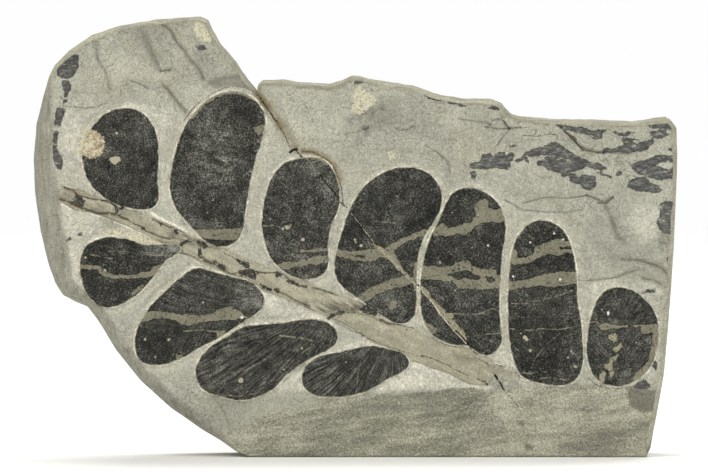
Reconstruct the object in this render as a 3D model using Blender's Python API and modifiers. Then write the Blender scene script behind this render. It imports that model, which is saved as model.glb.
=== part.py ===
"""A fossil fern plate: a slab of grey shale with one frond of a seed fern pressed flat on its face.

The slab stands on a sawn foot. Its face looks towards -Y, +X runs to the right along the face and +Z is up.
The origin is under the middle of the slab, on the foot. Eleven leaflets (pinnules) and the stem that carried
them (the rachis) are thin coal films, each lying in its own shallow pocket with a prepared groove around it.
Outlines are written in millimetres as (x, z), seen from the front.
"""
import math

import bmesh
import bpy
from mathutils import Vector, noise

MM = 0.001

# Driving sizes of the slab, in millimetres
SLAB_THICKNESS = 22.0
BACK_Y = SLAB_THICKNESS / 2
FRONT_Y = -SLAB_THICKNESS / 2
COVER_RISE = 1.0
FOSSIL_Y = FRONT_Y + COVER_RISE
SIDE_START_Y = -3.5
LEFT_BEVEL_WIDTH = 5.0
LOOSE_EDGE_WIDTH = 0.9
SIDE_ROUGHNESS = 0.7
SIDE_RINGS = 4
# Below this height, and at the notch, the edge is sharp and nothing is worn away.
SHARP_BELOW_Z = 1.0
# How far the forms that cut the face reach in front of it.
CLEARANCE = 2.0

# The sawn bevel above the foot
FOOT_BEVEL_TOP_Z = 13.2
FOOT_FRONT_Y = -5.2

# The coal films and what is cut into the shale for them
FILM_PROUD = 0.4
FILM_SUNK = 0.8
FILM_SHOULDER = 0.5
GAP = 0.3
STEM_POCKET_EXTRA = 0.1
WELD_DISTANCE = 0.02
GROOVE_WIDTH = 1.2
GROOVE_DEPTH = 0.5

# The hairline break that runs from the notch in the top edge to the foot bevel
BREAK_START = (-20.7, 74.0)
BREAK_END = (32.0, 12.0)
BREAK_WIDTH = 0.7
BREAK_DEPTH = 0.6
BREAK_FLOOR_WIDTH = 0.028

# Spacing of the grid that carries the uneven rock face
FACE_GRID = 4.0
FACE_MARGIN = 4.0

# Unevenness of the rock: heights in millimetres, and noise scales in bumps to a millimetre
COVER_MIDDLE = 0.72
SWELL_HEIGHT = 0.9
SWELL_SCALE = 0.055
RIPPLE_HEIGHT = 0.35
RIPPLE_SCALE = 0.16
SIDE_SCALE = 0.13

SMOOTH_ANGLE = math.radians(35)

SHALE = (0.36, 0.35, 0.29)
COAL = (0.032, 0.032, 0.031)
STEM = (0.33, 0.29, 0.21)

# Edge of the slab, clockwise from the top of its left lobe
NOTCH = (-19.4, 72.5)
SLAB_EDGE = [
    (-31.0, 88.1), (-29.3, 87.4), (-28.4, 85.4), (-26.6, 82.4), (-23.6, 79.0), (-21.4, 75.4),
    NOTCH, (-19.6, 74.1), (-18.6, 75.2), (-14.0, 75.6), (-11.0, 75.0), (-5.0, 74.7),
    (-2.6, 75.4), (-0.8, 76.4), (1.4, 76.3), (3.0, 75.7), (8.0, 75.0), (12.0, 74.2),
    (17.0, 72.6), (22.0, 71.7), (27.6, 71.5), (29.6, 70.6), (31.4, 68.7), (33.0, 68.2),
    (39.0, 67.6), (49.0, 67.4), (56.0, 67.2), (60.0, 67.8), (62.8, 68.0), (64.2, 66.2),
    (64.4, 61.0), (64.2, 53.6), (63.7, 41.6), (62.7, 26.6), (61.8, 16.6), (60.6, 9.6),
    (59.2, 1.6), (58.4, 0.0), (-21.0, 0.0), (-23.8, 1.0), (-26.8, 3.2), (-31.0, 5.6),
    (-37.0, 9.8), (-43.0, 15.2), (-47.8, 21.2), (-51.6, 27.4), (-53.6, 30.0), (-56.2, 31.1),
    (-58.6, 32.4), (-60.1, 34.8), (-61.6, 39.2), (-63.0, 45.2), (-64.1, 52.6), (-64.4, 59.6),
    (-63.8, 66.6), (-62.6, 71.6), (-61.2, 76.2), (-60.0, 78.6), (-57.0, 81.6), (-52.6, 84.6),
    (-47.0, 86.5), (-41.0, 87.5), (-35.0, 88.0),
]

# The ground and rounded stretch of that edge, down the left side, runs between these two places.
BEVEL_FIRST = (-23.8, 1.0)
BEVEL_LAST = (-60.0, 78.6)

# Where the rock that once covered the frond still stands: above this line the face is higher.
COVER_LINE = [(-66, 72), (-52, 73), (-40, 73.5), (-33, 74), (-24, 76.5), (-17, 69), (-12, 62.5),
              (-5, 61.5), (4, 60.5), (12, 60.5), (24, 56.5), (32, 51.5), (40, 50), (48, 41),
              (54, 37), (60, 34.5), (66, 30)]
COVER_RAMP = 3.0

PINNULES = {
    "pinnule_upper_1": [
        (-45.8, 70.1), (-42.8, 69.3), (-40.5, 66.8), (-39.4, 63.1), (-39.3, 58.6), (-39.5, 55.0),
        (-39.2, 52.2), (-40.2, 50.3), (-42.2, 49.8), (-45.0, 50.1), (-47.8, 50.9), (-50.5, 52.5),
        (-52.9, 54.9), (-54.3, 58.5), (-54.5, 61.8), (-53.5, 64.8), (-51.4, 67.7), (-48.9, 69.5),
    ],
    "pinnule_upper_2": [
        (-25.0, 73.5), (-21.6, 72.8), (-19.2, 70.8), (-17.9, 67.9), (-18.5, 64.0), (-20.0, 59.6),
        (-21.3, 53.6), (-22.1, 48.6), (-22.8, 44.8), (-24.2, 43.0), (-26.8, 42.3), (-29.7, 43.3),
        (-32.8, 46.5), (-35.9, 50.2), (-37.0, 54.6), (-36.4, 59.2), (-34.8, 64.6), (-32.6, 68.6),
        (-29.0, 72.0),
    ],
    "pinnule_upper_3": [
        (-11.0, 60.0), (-7.6, 60.2), (-5.2, 58.8), (-3.6, 55.7), (-3.0, 51.8), (-3.9, 48.6),
        (-5.0, 46.0), (-5.4, 41.6), (-5.6, 37.8), (-7.4, 36.2), (-10.2, 35.8), (-13.4, 36.9),
        (-16.6, 39.8), (-18.3, 43.9), (-18.6, 48.0), (-18.0, 52.0), (-16.8, 55.8), (-14.4, 58.9),
    ],
    "pinnule_upper_4": [
        (10.0, 58.3), (13.3, 57.7), (16.0, 55.8), (17.3, 52.8), (16.9, 49.5), (15.1, 46.5),
        (13.4, 43.4), (12.4, 38.6), (12.2, 33.6), (12.0, 29.0), (10.7, 27.3), (8.2, 27.1),
        (5.0, 28.9), (1.4, 31.6), (-2.1, 34.0), (-3.9, 36.6), (-3.9, 40.2), (-2.7, 44.8),
        (-1.1, 49.6), (1.5, 54.0), (5.5, 57.1),
    ],
    "pinnule_upper_5": [
        (22.3, 54.2), (25.1, 53.6), (27.4, 52.2), (29.3, 50.0), (30.1, 46.6), (29.5, 41.4),
        (29.0, 35.6), (28.8, 29.6), (29.3, 24.6), (28.8, 22.0), (26.4, 20.6), (24.2, 21.3),
        (22.6, 22.6), (20.0, 22.7), (17.2, 23.6), (14.9, 25.4), (13.4, 28.4), (13.2, 32.0),
        (13.2, 36.0), (13.9, 40.6), (15.0, 44.0), (16.4, 46.8), (17.8, 49.8), (19.2, 52.8),
    ],
    "pinnule_upper_6": [
        (37.2, 47.7), (39.8, 47.0), (42.1, 45.0), (43.4, 41.6), (44.3, 36.6), (44.3, 32.2),
        (45.0, 28.6), (45.4, 22.6), (45.2, 17.4), (43.6, 15.3), (40.6, 14.6), (36.6, 15.2),
        (33.4, 16.4), (31.8, 19.4), (30.8, 24.6), (30.6, 31.6), (30.9, 37.6), (31.7, 42.6),
        (33.8, 46.2),
    ],
    "pinnule_upper_7": [
        (52.6, 34.3), (55.5, 33.6), (58.5, 31.4), (60.3, 28.2), (60.7, 24.4), (60.0, 20.4),
        (57.9, 16.8), (54.8, 14.9), (51.2, 14.5), (48.5, 15.7), (46.9, 18.4), (46.4, 22.4),
        (46.9, 27.2), (48.2, 31.2), (50.2, 33.7),
    ],
    "pinnule_lower_1": [
        (-55.0, 39.2), (-53.8, 42.4), (-51.4, 43.8), (-48.2, 44.3), (-45.0, 43.7), (-41.8, 42.7),
        (-38.0, 42.8), (-34.7, 42.3), (-35.6, 40.9), (-37.6, 39.9), (-39.6, 37.2), (-42.4, 33.9),
        (-46.0, 31.2), (-49.6, 30.2), (-52.2, 31.2), (-54.2, 34.2),
    ],
    "pinnule_lower_2": [
        (-18.1, 31.3), (-19.3, 34.0), (-21.6, 35.6), (-25.2, 36.4), (-29.0, 37.5), (-31.9, 38.1),
        (-34.9, 36.1), (-38.5, 32.9), (-41.5, 29.6), (-43.4, 26.2), (-44.0, 22.2), (-43.0, 19.6),
        (-40.4, 18.7), (-37.0, 19.1), (-33.4, 20.7), (-31.0, 22.3), (-27.8, 23.8), (-24.0, 26.3),
        (-20.6, 28.4),
    ],
    "pinnule_lower_3": [
        (-3.4, 24.6), (-4.6, 26.6), (-8.0, 27.8), (-12.0, 27.5), (-16.6, 26.8), (-21.4, 26.6),
        (-25.0, 24.7), (-29.2, 22.0), (-31.6, 18.8), (-31.6, 15.6), (-29.8, 13.4), (-26.6, 12.4),
        (-23.0, 11.6), (-19.6, 12.3), (-16.3, 13.9), (-14.0, 16.4), (-10.9, 18.8), (-7.2, 21.0),
        (-4.2, 22.5),
    ],
    "pinnule_lower_4": [
        (10.8, 18.8), (9.8, 20.9), (7.0, 21.8), (3.8, 22.5), (0.0, 22.0), (-4.2, 21.0),
        (-8.2, 19.8), (-10.3, 17.6), (-10.5, 15.0), (-8.8, 12.9), (-5.4, 12.3), (-1.0, 12.6),
        (3.0, 13.7), (6.6, 16.0), (9.4, 17.3),
    ],
}

# Middle line of the rachis with its width there, from the thin far end to the sawn-off thick end.
RACHIS_LINE = [
    (-59.0, 53.0, 2.4), (-51.0, 50.2, 2.7), (-44.0, 47.5, 2.8), (-38.0, 45.2, 2.8),
    (-31.0, 41.6, 3.0), (-24.0, 38.8, 3.2), (-17.0, 35.6, 3.4), (-9.0, 32.4, 3.8),
    (-1.0, 29.2, 4.2), (6.0, 25.2, 4.6), (13.0, 22.0, 4.8), (20.0, 19.6, 4.8), (26.6, 17.0, 4.4),
]


def clear_scene():
    for obj in list(bpy.data.objects):
        bpy.data.objects.remove(obj)


def make_collection(name):
    collection = bpy.data.collections.new(name)
    bpy.context.scene.collection.children.link(collection)
    return collection


def make_material(name, colour, roughness):
    material = bpy.data.materials.new(name)
    material.use_nodes = True
    shader = material.node_tree.nodes["Principled BSDF"]
    shader.inputs["Base Color"].default_value = (*colour, 1.0)
    shader.inputs["Roughness"].default_value = roughness
    shader.inputs["Metallic"].default_value = 0.0
    material.diffuse_color = (*colour, 1.0)
    return material


def smooth_step(value):
    value = min(1.0, max(0.0, value))
    return value * value * (3.0 - 2.0 * value)


def height_on(line, x):
    """Height of a left-to-right line of (x, z) points at x."""
    for (x_a, z_a), (x_b, z_b) in zip(line, line[1:]):
        if x <= x_b:
            return z_a + (z_b - z_a) * (x - x_a) / (x_b - x_a)
    return line[-1][1]


def face_height(x, z):
    """How far the rock face stands in front of the plane of the fossil, in millimetres."""
    cover = smooth_step((z - height_on(COVER_LINE, x)) / COVER_RAMP)
    swell = SWELL_HEIGHT * noise.noise(Vector((x, z, 3.0)) * SWELL_SCALE)
    leaning = Vector((x * 0.8 + z * 0.5, z * 0.35 - x * 0.5, 9.0))
    ripple = RIPPLE_HEIGHT * noise.noise(leaning * RIPPLE_SCALE)
    return min(COVER_RISE, cover * (COVER_MIDDLE + swell + ripple))


def flat_outline(name, points, y_front, y_back, collection, grow=0.0, shoulder=0.0):
    """A 2D curve through (x, z) points in millimetres, filled between two depths.

    grow moves the whole outline outwards, and shoulder rounds its front and back edges.
    """
    data = bpy.data.curves.new(name, "CURVE")
    data.dimensions = "2D"
    data.fill_mode = "BOTH"
    data.resolution_u = 2
    spline = data.splines.new("BEZIER")
    spline.bezier_points.add(len(points) - 1)
    for knot, (x, z) in zip(spline.bezier_points, points):
        knot.co = (x * MM, z * MM, 0.0)
        knot.handle_left_type = "AUTO"
        knot.handle_right_type = "AUTO"
    spline.use_cyclic_u = True
    data.bevel_depth = shoulder * MM
    data.bevel_resolution = 0
    data.offset = (grow - shoulder) * MM
    data.extrude = ((y_back - y_front) / 2 - shoulder) * MM
    obj = bpy.data.objects.new(name, data)
    obj.location = (0.0, (y_front + y_back) / 2 * MM, 0.0)
    obj.rotation_euler = (math.radians(90), 0.0, 0.0)
    collection.objects.link(obj)
    return obj


def to_mesh(curve, collection):
    """The curve's solid as a closed mesh object of the same name. The curve is removed."""
    bpy.context.view_layer.update()
    graph = bpy.context.evaluated_depsgraph_get()
    mesh = bpy.data.meshes.new_from_object(curve.evaluated_get(graph))
    mesh.transform(curve.matrix_world)
    name = curve.name
    bpy.data.objects.remove(curve)
    shape = bmesh.new()
    shape.from_mesh(mesh)
    bmesh.ops.remove_doubles(shape, verts=shape.verts, dist=0.00001)
    bmesh.ops.recalc_face_normals(shape, faces=shape.faces)
    shape.to_mesh(mesh)
    shape.free()
    mesh.name = name
    obj = bpy.data.objects.new(name, mesh)
    collection.objects.link(obj)
    return obj


def boolean(obj, operation, other, solver="EXACT"):
    """Cuts or joins obj with another object, or with every object of a collection at once.

    Neighbouring grooves and pockets meet in slivers where EXACT leaves open edges, so the slab uses MANIFOLD.
    """
    modifier = obj.modifiers.new(operation.title(), "BOOLEAN")
    modifier.operation = operation
    modifier.solver = solver
    if isinstance(other, bpy.types.Collection):
        modifier.operand_type = "COLLECTION"
        modifier.collection = other
    else:
        modifier.object = other


def hide_helper(obj):
    obj.hide_render = True
    obj.display_type = "WIRE"


def edge_normal(index):
    """Outward direction of the slab's edge at one of its points."""
    before = Vector(SLAB_EDGE[index - 1])
    after = Vector(SLAB_EDGE[(index + 1) % len(SLAB_EDGE)])
    along = (after - before).normalized()
    return Vector((-along.y, along.x))


def bevel_width(index):
    """How far the front rim lies inside the slab's edge: wide where the left side is ground round."""
    first = SLAB_EDGE.index(BEVEL_FIRST)
    last = SLAB_EDGE.index(BEVEL_LAST)
    run_in = 3
    inside = min(index - first, last - index) / run_in
    x, z = SLAB_EDGE[index]
    if z < SHARP_BELOW_Z or (x, z) == NOTCH:
        return 0.0
    return LOOSE_EDGE_WIDTH + (LEFT_BEVEL_WIDTH - LOOSE_EDGE_WIDTH) * smooth_step(inside)


def side_wear(x, y, z):
    """Uneven broken sides: how far the wall lies inside the edge. The sawn foot stays flat."""
    if z < SHARP_BELOW_Z or (x, z) == NOTCH:
        return 0.0
    return SIDE_ROUGHNESS * (0.5 + 0.5 * noise.noise(Vector((x, y * 2.0, z)) * SIDE_SCALE))


def slab_blank(collection):
    """The slab's outer form, lofted from a narrow ring far in front, through its edge, to the back."""
    front_y = FRONT_Y - CLEARANCE
    reach = (SIDE_START_Y - front_y) / (SIDE_START_Y - FOSSIL_Y)
    rings = []
    for i, (x, z) in enumerate(SLAB_EDGE):
        inward = edge_normal(i) * (bevel_width(i) * reach)
        rings.append([Vector((x - inward.x, front_y, z - inward.y))])
    for step in range(SIDE_RINGS + 1):
        y = SIDE_START_Y + (BACK_Y - SIDE_START_Y) * step / SIDE_RINGS
        for i, (x, z) in enumerate(SLAB_EDGE):
            inward = edge_normal(i) * (side_wear(x, y, z) if step else 0.0)
            rings[i].append(Vector((x - inward.x, y, z - inward.y)))
    shape = bmesh.new()
    columns = [[shape.verts.new(point * MM) for point in column] for column in rings]
    for column, beside in zip(columns, columns[1:] + columns[:1]):
        for a, b, c, d in zip(column, column[1:], beside[1:], beside):
            shape.faces.new((a, b, c, d))
    shape.faces.new([column[0] for column in columns])
    shape.faces.new([column[-1] for column in columns])
    bmesh.ops.triangulate(shape, faces=shape.faces)
    bmesh.ops.recalc_face_normals(shape, faces=shape.faces)
    mesh = bpy.data.meshes.new("slab_blank")
    shape.to_mesh(mesh)
    shape.free()
    obj = bpy.data.objects.new("slab_blank", mesh)
    collection.objects.link(obj)
    return obj


def rock_face(name, collection):
    """A thick sheet whose front is the uneven face of the rock."""
    low_x = min(x for x, _ in SLAB_EDGE) - FACE_MARGIN
    high_x = max(x for x, _ in SLAB_EDGE) + FACE_MARGIN
    low_z = min(z for _, z in SLAB_EDGE) - FACE_MARGIN
    high_z = max(z for _, z in SLAB_EDGE) + FACE_MARGIN
    bpy.ops.mesh.primitive_grid_add(
        x_subdivisions=round((high_x - low_x) / FACE_GRID),
        y_subdivisions=round((high_z - low_z) / FACE_GRID),
        size=1.0,
    )
    obj = bpy.context.object
    obj.name = name
    for vertex in obj.data.vertices:
        x = low_x + (vertex.co.x + 0.5) * (high_x - low_x)
        z = low_z + (vertex.co.y + 0.5) * (high_z - low_z)
        vertex.co = Vector((x, FOSSIL_Y - face_height(x, z), z)) * MM
    solidify = obj.modifiers.new("Depth", "SOLIDIFY")
    solidify.thickness = (SLAB_THICKNESS + FACE_MARGIN) * MM
    solidify.offset = -1.0
    obj.modifiers.new("Flat faces", "TRIANGULATE")
    for old in obj.users_collection:
        old.objects.unlink(obj)
    collection.objects.link(obj)
    return obj


def foot_bevel_cutter(collection):
    """A block whose one face is the saw cut that slopes back from the fossil down to the foot."""
    size = 60.0
    length = 180.0
    top = Vector((0.0, FOSSIL_Y, FOOT_BEVEL_TOP_Z))
    bottom = Vector((0.0, FOOT_FRONT_Y, 0.0))
    slope = math.atan2(bottom.y - top.y, top.z - bottom.z)
    middle = (top + bottom) / 2
    bpy.ops.mesh.primitive_cube_add(size=1.0)
    obj = bpy.context.object
    obj.name = "foot_bevel_cutter"
    obj.scale = (length * MM, size * MM, size * MM)
    obj.rotation_euler = (slope, 0.0, 0.0)
    outward = Vector((0.0, -math.cos(slope), -math.sin(slope)))
    obj.location = (middle + outward * size / 2) * MM
    for old in obj.users_collection:
        old.objects.unlink(obj)
    collection.objects.link(obj)
    return obj


def break_cutter(collection):
    """A thin square bar turned on its edge, which cuts the V of the hairline break."""
    start = Vector((BREAK_START[0], FOSSIL_Y, BREAK_START[1]))
    end = Vector((BREAK_END[0], FOSSIL_Y, BREAK_END[1]))
    run = end - start
    bpy.ops.mesh.primitive_cube_add(size=1.0)
    obj = bpy.context.object
    obj.name = "break_cutter"
    height = 2.0 * (BREAK_DEPTH + COVER_RISE)
    for vertex in obj.data.vertices:
        width = BREAK_WIDTH if vertex.co.y < 0 else BREAK_FLOOR_WIDTH
        vertex.co.x = vertex.co.x * width * MM
        vertex.co.y = vertex.co.y * height * MM
        vertex.co.z = vertex.co.z * run.length * MM
    obj.rotation_euler = (0.0, math.atan2(run.x, run.z), 0.0)
    obj.location = ((start + end) / 2 + Vector((0.0, -height / 2 + BREAK_DEPTH, 0.0))) * MM
    for old in obj.users_collection:
        old.objects.unlink(obj)
    collection.objects.link(obj)
    return obj


def rachis_outline():
    """The rachis's two edges, worked out from its middle line and widths, as one closed outline."""
    upper = []
    lower = []
    for i, (x, z, width) in enumerate(RACHIS_LINE):
        before = RACHIS_LINE[max(i - 1, 0)]
        after = RACHIS_LINE[min(i + 1, len(RACHIS_LINE) - 1)]
        along = Vector((after[0] - before[0], after[1] - before[1])).normalized()
        side = Vector((-along.y, along.x)) * (width / 2)
        upper.append((x + side.x, z + side.y))
        lower.append((x - side.x, z - side.y))
    return upper + lower[::-1]


def build_part():
    clear_scene()
    parts = make_collection("fossil_fern_plate")
    forms = make_collection("slab_forms")
    grooves = make_collection("groove_cutters")
    pockets = make_collection("pocket_cutters")
    shale = make_material("shale", SHALE, 0.9)
    coal = make_material("coal_film", COAL, 0.55)
    stem = make_material("stem_impression", STEM, 0.85)

    front = FOSSIL_Y - FILM_PROUD
    back = FOSSIL_Y + FILM_SUNK
    far_front = FRONT_Y - CLEARANCE
    groove_floor = FOSSIL_Y + GROOVE_DEPTH
    pocket_floor = back + GAP

    stem_outline = rachis_outline()
    rachis = to_mesh(flat_outline("rachis", stem_outline, front, back, forms, shoulder=FILM_SHOULDER), parts)
    stem_floor = pocket_floor + STEM_POCKET_EXTRA
    stem_pocket = flat_outline("rachis_pocket", stem_outline, far_front, stem_floor, forms, grow=GAP)
    stem_pocket = to_mesh(stem_pocket, forms)
    leaf_pockets = []
    for name, outline in PINNULES.items():
        leaflet = to_mesh(flat_outline(name, outline, front, back, forms, shoulder=FILM_SHOULDER), parts)
        leaflet.data.materials.clear()
        leaflet.data.materials.append(coal)
        leaflet.data.shade_smooth()
        leaflet.data.set_sharp_from_angle(angle=SMOOTH_ANGLE)
        pocket = flat_outline(name + "_pocket", outline, far_front, pocket_floor, forms, grow=GAP)
        leaf_pockets.append(to_mesh(pocket, pockets))
        groove = flat_outline(name + "_groove", outline, far_front, groove_floor, forms, grow=GROOVE_WIDTH)
        to_mesh(groove, grooves)
    break_cutter(grooves)

    slab = rock_face("shale_slab", parts)
    boolean(slab, "INTERSECT", slab_blank(forms), "MANIFOLD")
    boolean(slab, "DIFFERENCE", foot_bevel_cutter(forms), "MANIFOLD")
    boolean(slab, "DIFFERENCE", grooves, "MANIFOLD")
    boolean(slab, "DIFFERENCE", pockets, "MANIFOLD")
    boolean(slab, "DIFFERENCE", stem_pocket, "MANIFOLD")
    weld = slab.modifiers.new("Weld", "WELD")
    weld.merge_threshold = WELD_DISTANCE * MM
    for pocket in leaf_pockets:
        boolean(rachis, "DIFFERENCE", pocket)

    for obj, material in ((slab, shale), (rachis, stem)):
        obj.data.materials.clear()
        obj.data.materials.append(material)
    for collection in (forms, grooves, pockets):
        for helper in collection.objects:
            hide_helper(helper)


build_part()
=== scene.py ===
# %% [markdown]
# # A fossil fern plate
#
# About 300 million years ago a frond of a seed fern sank into mud. The mud became shale and the leaflets
# became thin films of coal. A collector split the rock along that layer, sawed it a foot to stand on and cut
# a groove around each leaflet with an air-driven scribe. This script gives the measured solids of that plate
# their finish: the rock, the coal and the stem, with every crack and flaked patch where the real plate has
# it.
#
# The solids come in as a fixed frame, so they can be measured but never moved.

# %% Load the measured solids
import math

import bmesh
import bpy
import numpy as np
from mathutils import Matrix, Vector, geometry, noise


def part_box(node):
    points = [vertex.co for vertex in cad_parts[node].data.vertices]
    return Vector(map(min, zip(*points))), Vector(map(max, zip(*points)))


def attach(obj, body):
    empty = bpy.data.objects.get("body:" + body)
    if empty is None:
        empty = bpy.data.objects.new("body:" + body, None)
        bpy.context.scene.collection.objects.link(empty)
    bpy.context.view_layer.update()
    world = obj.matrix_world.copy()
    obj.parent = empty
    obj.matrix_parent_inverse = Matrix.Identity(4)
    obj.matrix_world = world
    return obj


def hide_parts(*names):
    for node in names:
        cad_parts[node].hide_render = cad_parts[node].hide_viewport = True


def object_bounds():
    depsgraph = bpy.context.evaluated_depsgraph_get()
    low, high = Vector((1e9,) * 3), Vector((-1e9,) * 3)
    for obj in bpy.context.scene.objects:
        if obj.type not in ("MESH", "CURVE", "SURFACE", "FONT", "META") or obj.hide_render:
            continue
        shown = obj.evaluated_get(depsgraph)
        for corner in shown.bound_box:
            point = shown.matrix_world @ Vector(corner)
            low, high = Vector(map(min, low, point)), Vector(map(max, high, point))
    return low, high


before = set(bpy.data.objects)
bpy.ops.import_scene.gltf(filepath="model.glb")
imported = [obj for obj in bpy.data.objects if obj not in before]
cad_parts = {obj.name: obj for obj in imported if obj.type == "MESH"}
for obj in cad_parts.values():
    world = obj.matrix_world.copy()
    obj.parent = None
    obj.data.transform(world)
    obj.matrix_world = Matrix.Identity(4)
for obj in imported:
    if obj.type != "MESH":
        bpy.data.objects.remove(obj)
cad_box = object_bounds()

print("solids:", sorted(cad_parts))

# %% [markdown]
# ## Millimetres and rock noise
#
# The scene is in metres, but a fossil is easier to describe in millimetres, so the shapes below are in
# millimetres and only the finished mesh is scaled. Rock is uneven at every size. The built-in noise takes one
# point at a time. The surfaces here have tens of thousands of points, so this one works on whole arrays.

# %% Units and noise
MM = 0.001


def smooth_step(amount):
    """0 below 0, 1 above 1, and a smooth slope between them."""
    amount = np.clip(amount, 0.0, 1.0)
    return amount * amount * (3.0 - 2.0 * amount)


def bell(distance, width):
    """1 at no distance, falling smoothly to almost nothing at two widths."""
    return np.exp(-((distance / width) ** 2))


def rock_noise(points, size, seed=0):
    """Smooth random values from -1 to 1 at points in mm, with bumps about size mm across."""
    scaled = np.asarray(points, float) / size + seed * 17.31
    if scaled.shape[1] == 2:
        scaled = np.column_stack([scaled, np.full(len(scaled), 0.5)])
    cell = np.floor(scaled).astype(np.int64)
    part = smooth_step(scaled - cell)
    total = np.zeros(len(scaled))
    for corner in np.ndindex(2, 2, 2):
        at = cell + corner
        mixed = (at[:, 0] * 73856093) ^ (at[:, 1] * 19349663) ^ (at[:, 2] * 83492791)
        mixed = (mixed ^ (mixed >> 13)) * 1274126177
        value = ((mixed ^ (mixed >> 16)) & 0xFFFF) / 32767.5 - 1.0
        total += value * np.prod(np.where(corner, part, 1.0 - part), axis=1)
    return total


# %% [markdown]
# ## Outlines from the solids
#
# The coal films and the slab must stay exactly where the solids are. Their outlines could be typed in again,
# but then the two could drift apart. Here a plane cuts each solid, and the cut's edges are walked into a
# closed loop.

# %% Cut a solid into its outline
def outline_of(node, depth):
    """The longest loop, anticlockwise (x, z) in mm, where the plane y = depth cuts a solid."""
    shape = bmesh.new()
    shape.from_mesh(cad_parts[node].data)
    bmesh.ops.remove_doubles(shape, verts=shape.verts, dist=0.000001)
    everything = shape.verts[:] + shape.edges[:] + shape.faces[:]
    plane = (0.0, depth * MM, 0.0)
    cut = bmesh.ops.bisect_plane(shape, geom=everything, dist=1e-7, plane_co=plane, plane_no=(0, 1, 0))
    beside = {}
    for edge in cut["geom_cut"]:
        if isinstance(edge, bmesh.types.BMEdge):
            first, second = edge.verts
            beside.setdefault(first, []).append(second)
            beside.setdefault(second, []).append(first)
    loops = []
    while beside:
        here = next(iter(beside))
        loop = []
        while here is not None:
            loop.append((here.co.x / MM, here.co.z / MM))
            here = next((vert for vert in beside.pop(here) if vert in beside), None)
        loops.append(np.array(loop))
    shape.free()
    longest = max(loops, key=lambda loop: np.linalg.norm(loop - np.roll(loop, 1, axis=0), axis=1).sum())
    x, z = longest.T
    area = np.sum(x * np.roll(z, -1) - np.roll(x, -1) * z)
    return longest if area > 0 else longest[::-1]


def smoothed(values, times):
    """Values around a closed loop, each averaged with its neighbours a number of times."""
    for _ in range(times):
        values = (np.roll(values, 1, axis=0) + 2.0 * values + np.roll(values, -1, axis=0)) / 4.0
    return values


def evenly(line, spacing, least=2, closed=False):
    """Evenly spaced points along a line, at least so many. A closed line's end isn't given twice."""
    run = np.concatenate([[0.0], np.cumsum(np.linalg.norm(np.diff(line, axis=0), axis=1))])
    at = np.linspace(0.0, run[-1], max(least, round(run[-1] / spacing)), endpoint=not closed)
    return np.column_stack([np.interp(at, run, line[:, k]) for k in (0, 1)])


def resample(loop, spacing, soften=0):
    """The same closed loop with evenly spaced points, its corners softened a number of times."""
    return smoothed(evenly(np.vstack([loop, loop[:1]]), spacing, 8, closed=True), soften)


def outward(loop, reach=1):
    """Unit directions that point out of an anticlockwise loop, one for each point."""
    along = np.roll(loop, -reach, axis=0) - np.roll(loop, reach, axis=0)
    side = np.column_stack([along[:, 1], -along[:, 0]])
    return side / np.linalg.norm(side, axis=1)[:, None]


# %% [markdown]
# Every marking on the plate is a shape on the flat face. What the mesh stores for it is a signed distance:
# how many millimetres a point lies inside the shape. A painted mask would be as coarse as the mesh. A
# distance can be blended between mesh points, and the material then finds the exact edge and roughens it with
# noise.

# %% Distances to lines and shapes
def line_distance(points, line, closed=False, reach=4.0):
    """Distance in mm from each point to a line of (x, z) points. Far away it is simply the reach."""
    line = np.asarray(line, float)
    ends = np.roll(line, -1, axis=0) if closed else line[1:]
    near = np.all((points > line.min(axis=0) - reach) & (points < line.max(axis=0) + reach), axis=1)
    close = points[near]
    nearest = np.full(len(close), reach ** 2)
    for start, end in zip(line, ends):
        run = end - start
        share = np.clip((close - start) @ run / max(run @ run, 1e-12), 0.0, 1.0)
        gap = close - start - share[:, None] * run
        nearest = np.minimum(nearest, np.einsum("ij,ij->i", gap, gap))
    distance = np.full(len(points), reach)
    distance[near] = np.sqrt(nearest)
    return distance


def depth_inside(points, loop, reach=4.0):
    """How many mm each point lies inside a closed loop: negative outside, and never below -reach."""
    loop = np.asarray(loop, float)
    depth = np.full(len(points), -reach)
    near = np.all((points > loop.min(axis=0) - reach) & (points < loop.max(axis=0) + reach), axis=1)
    close = points[near]
    inside = np.zeros(len(close), bool)
    for (x_a, z_a), (x_b, z_b) in zip(loop, np.roll(loop, -1, axis=0)):
        if z_a != z_b:
            level = (z_a > close[:, 1]) != (z_b > close[:, 1])
            crossing = x_a + (close[:, 1] - z_a) * (x_b - x_a) / (z_b - z_a)
            inside ^= level & (close[:, 0] < crossing)
    gap = line_distance(close, loop, closed=True, reach=np.inf)
    depth[near] = np.where(inside, gap, -np.minimum(gap, reach))
    return depth


# %% [markdown]
# A film reaches a little past its solid, so that no dark gap shows between coal and rock. The solid's own
# outline would leave one, because the solids must not touch.

# %% Read the outlines
LEAFLETS = sorted(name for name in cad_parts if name.startswith("pinnule"))
FILM_PROUD = 0.4
film_low, film_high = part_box(LEAFLETS[0])
FOSSIL_Y = film_low.y / MM + FILM_PROUD
FILM_MIDDLE_Y = (film_low.y + film_high.y) / 2 / MM
# Where the broken sides begin, behind the wide bevel of the left side.
SIDE_START_Y = -3.5
BACK_Y = cad_box[1][1] / MM
FRONT_Y = cad_box[0][1] / MM

solid_loops = {name: resample(outline_of(name, FILM_MIDDLE_Y), 0.25, soften=6) for name in LEAFLETS}
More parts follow.
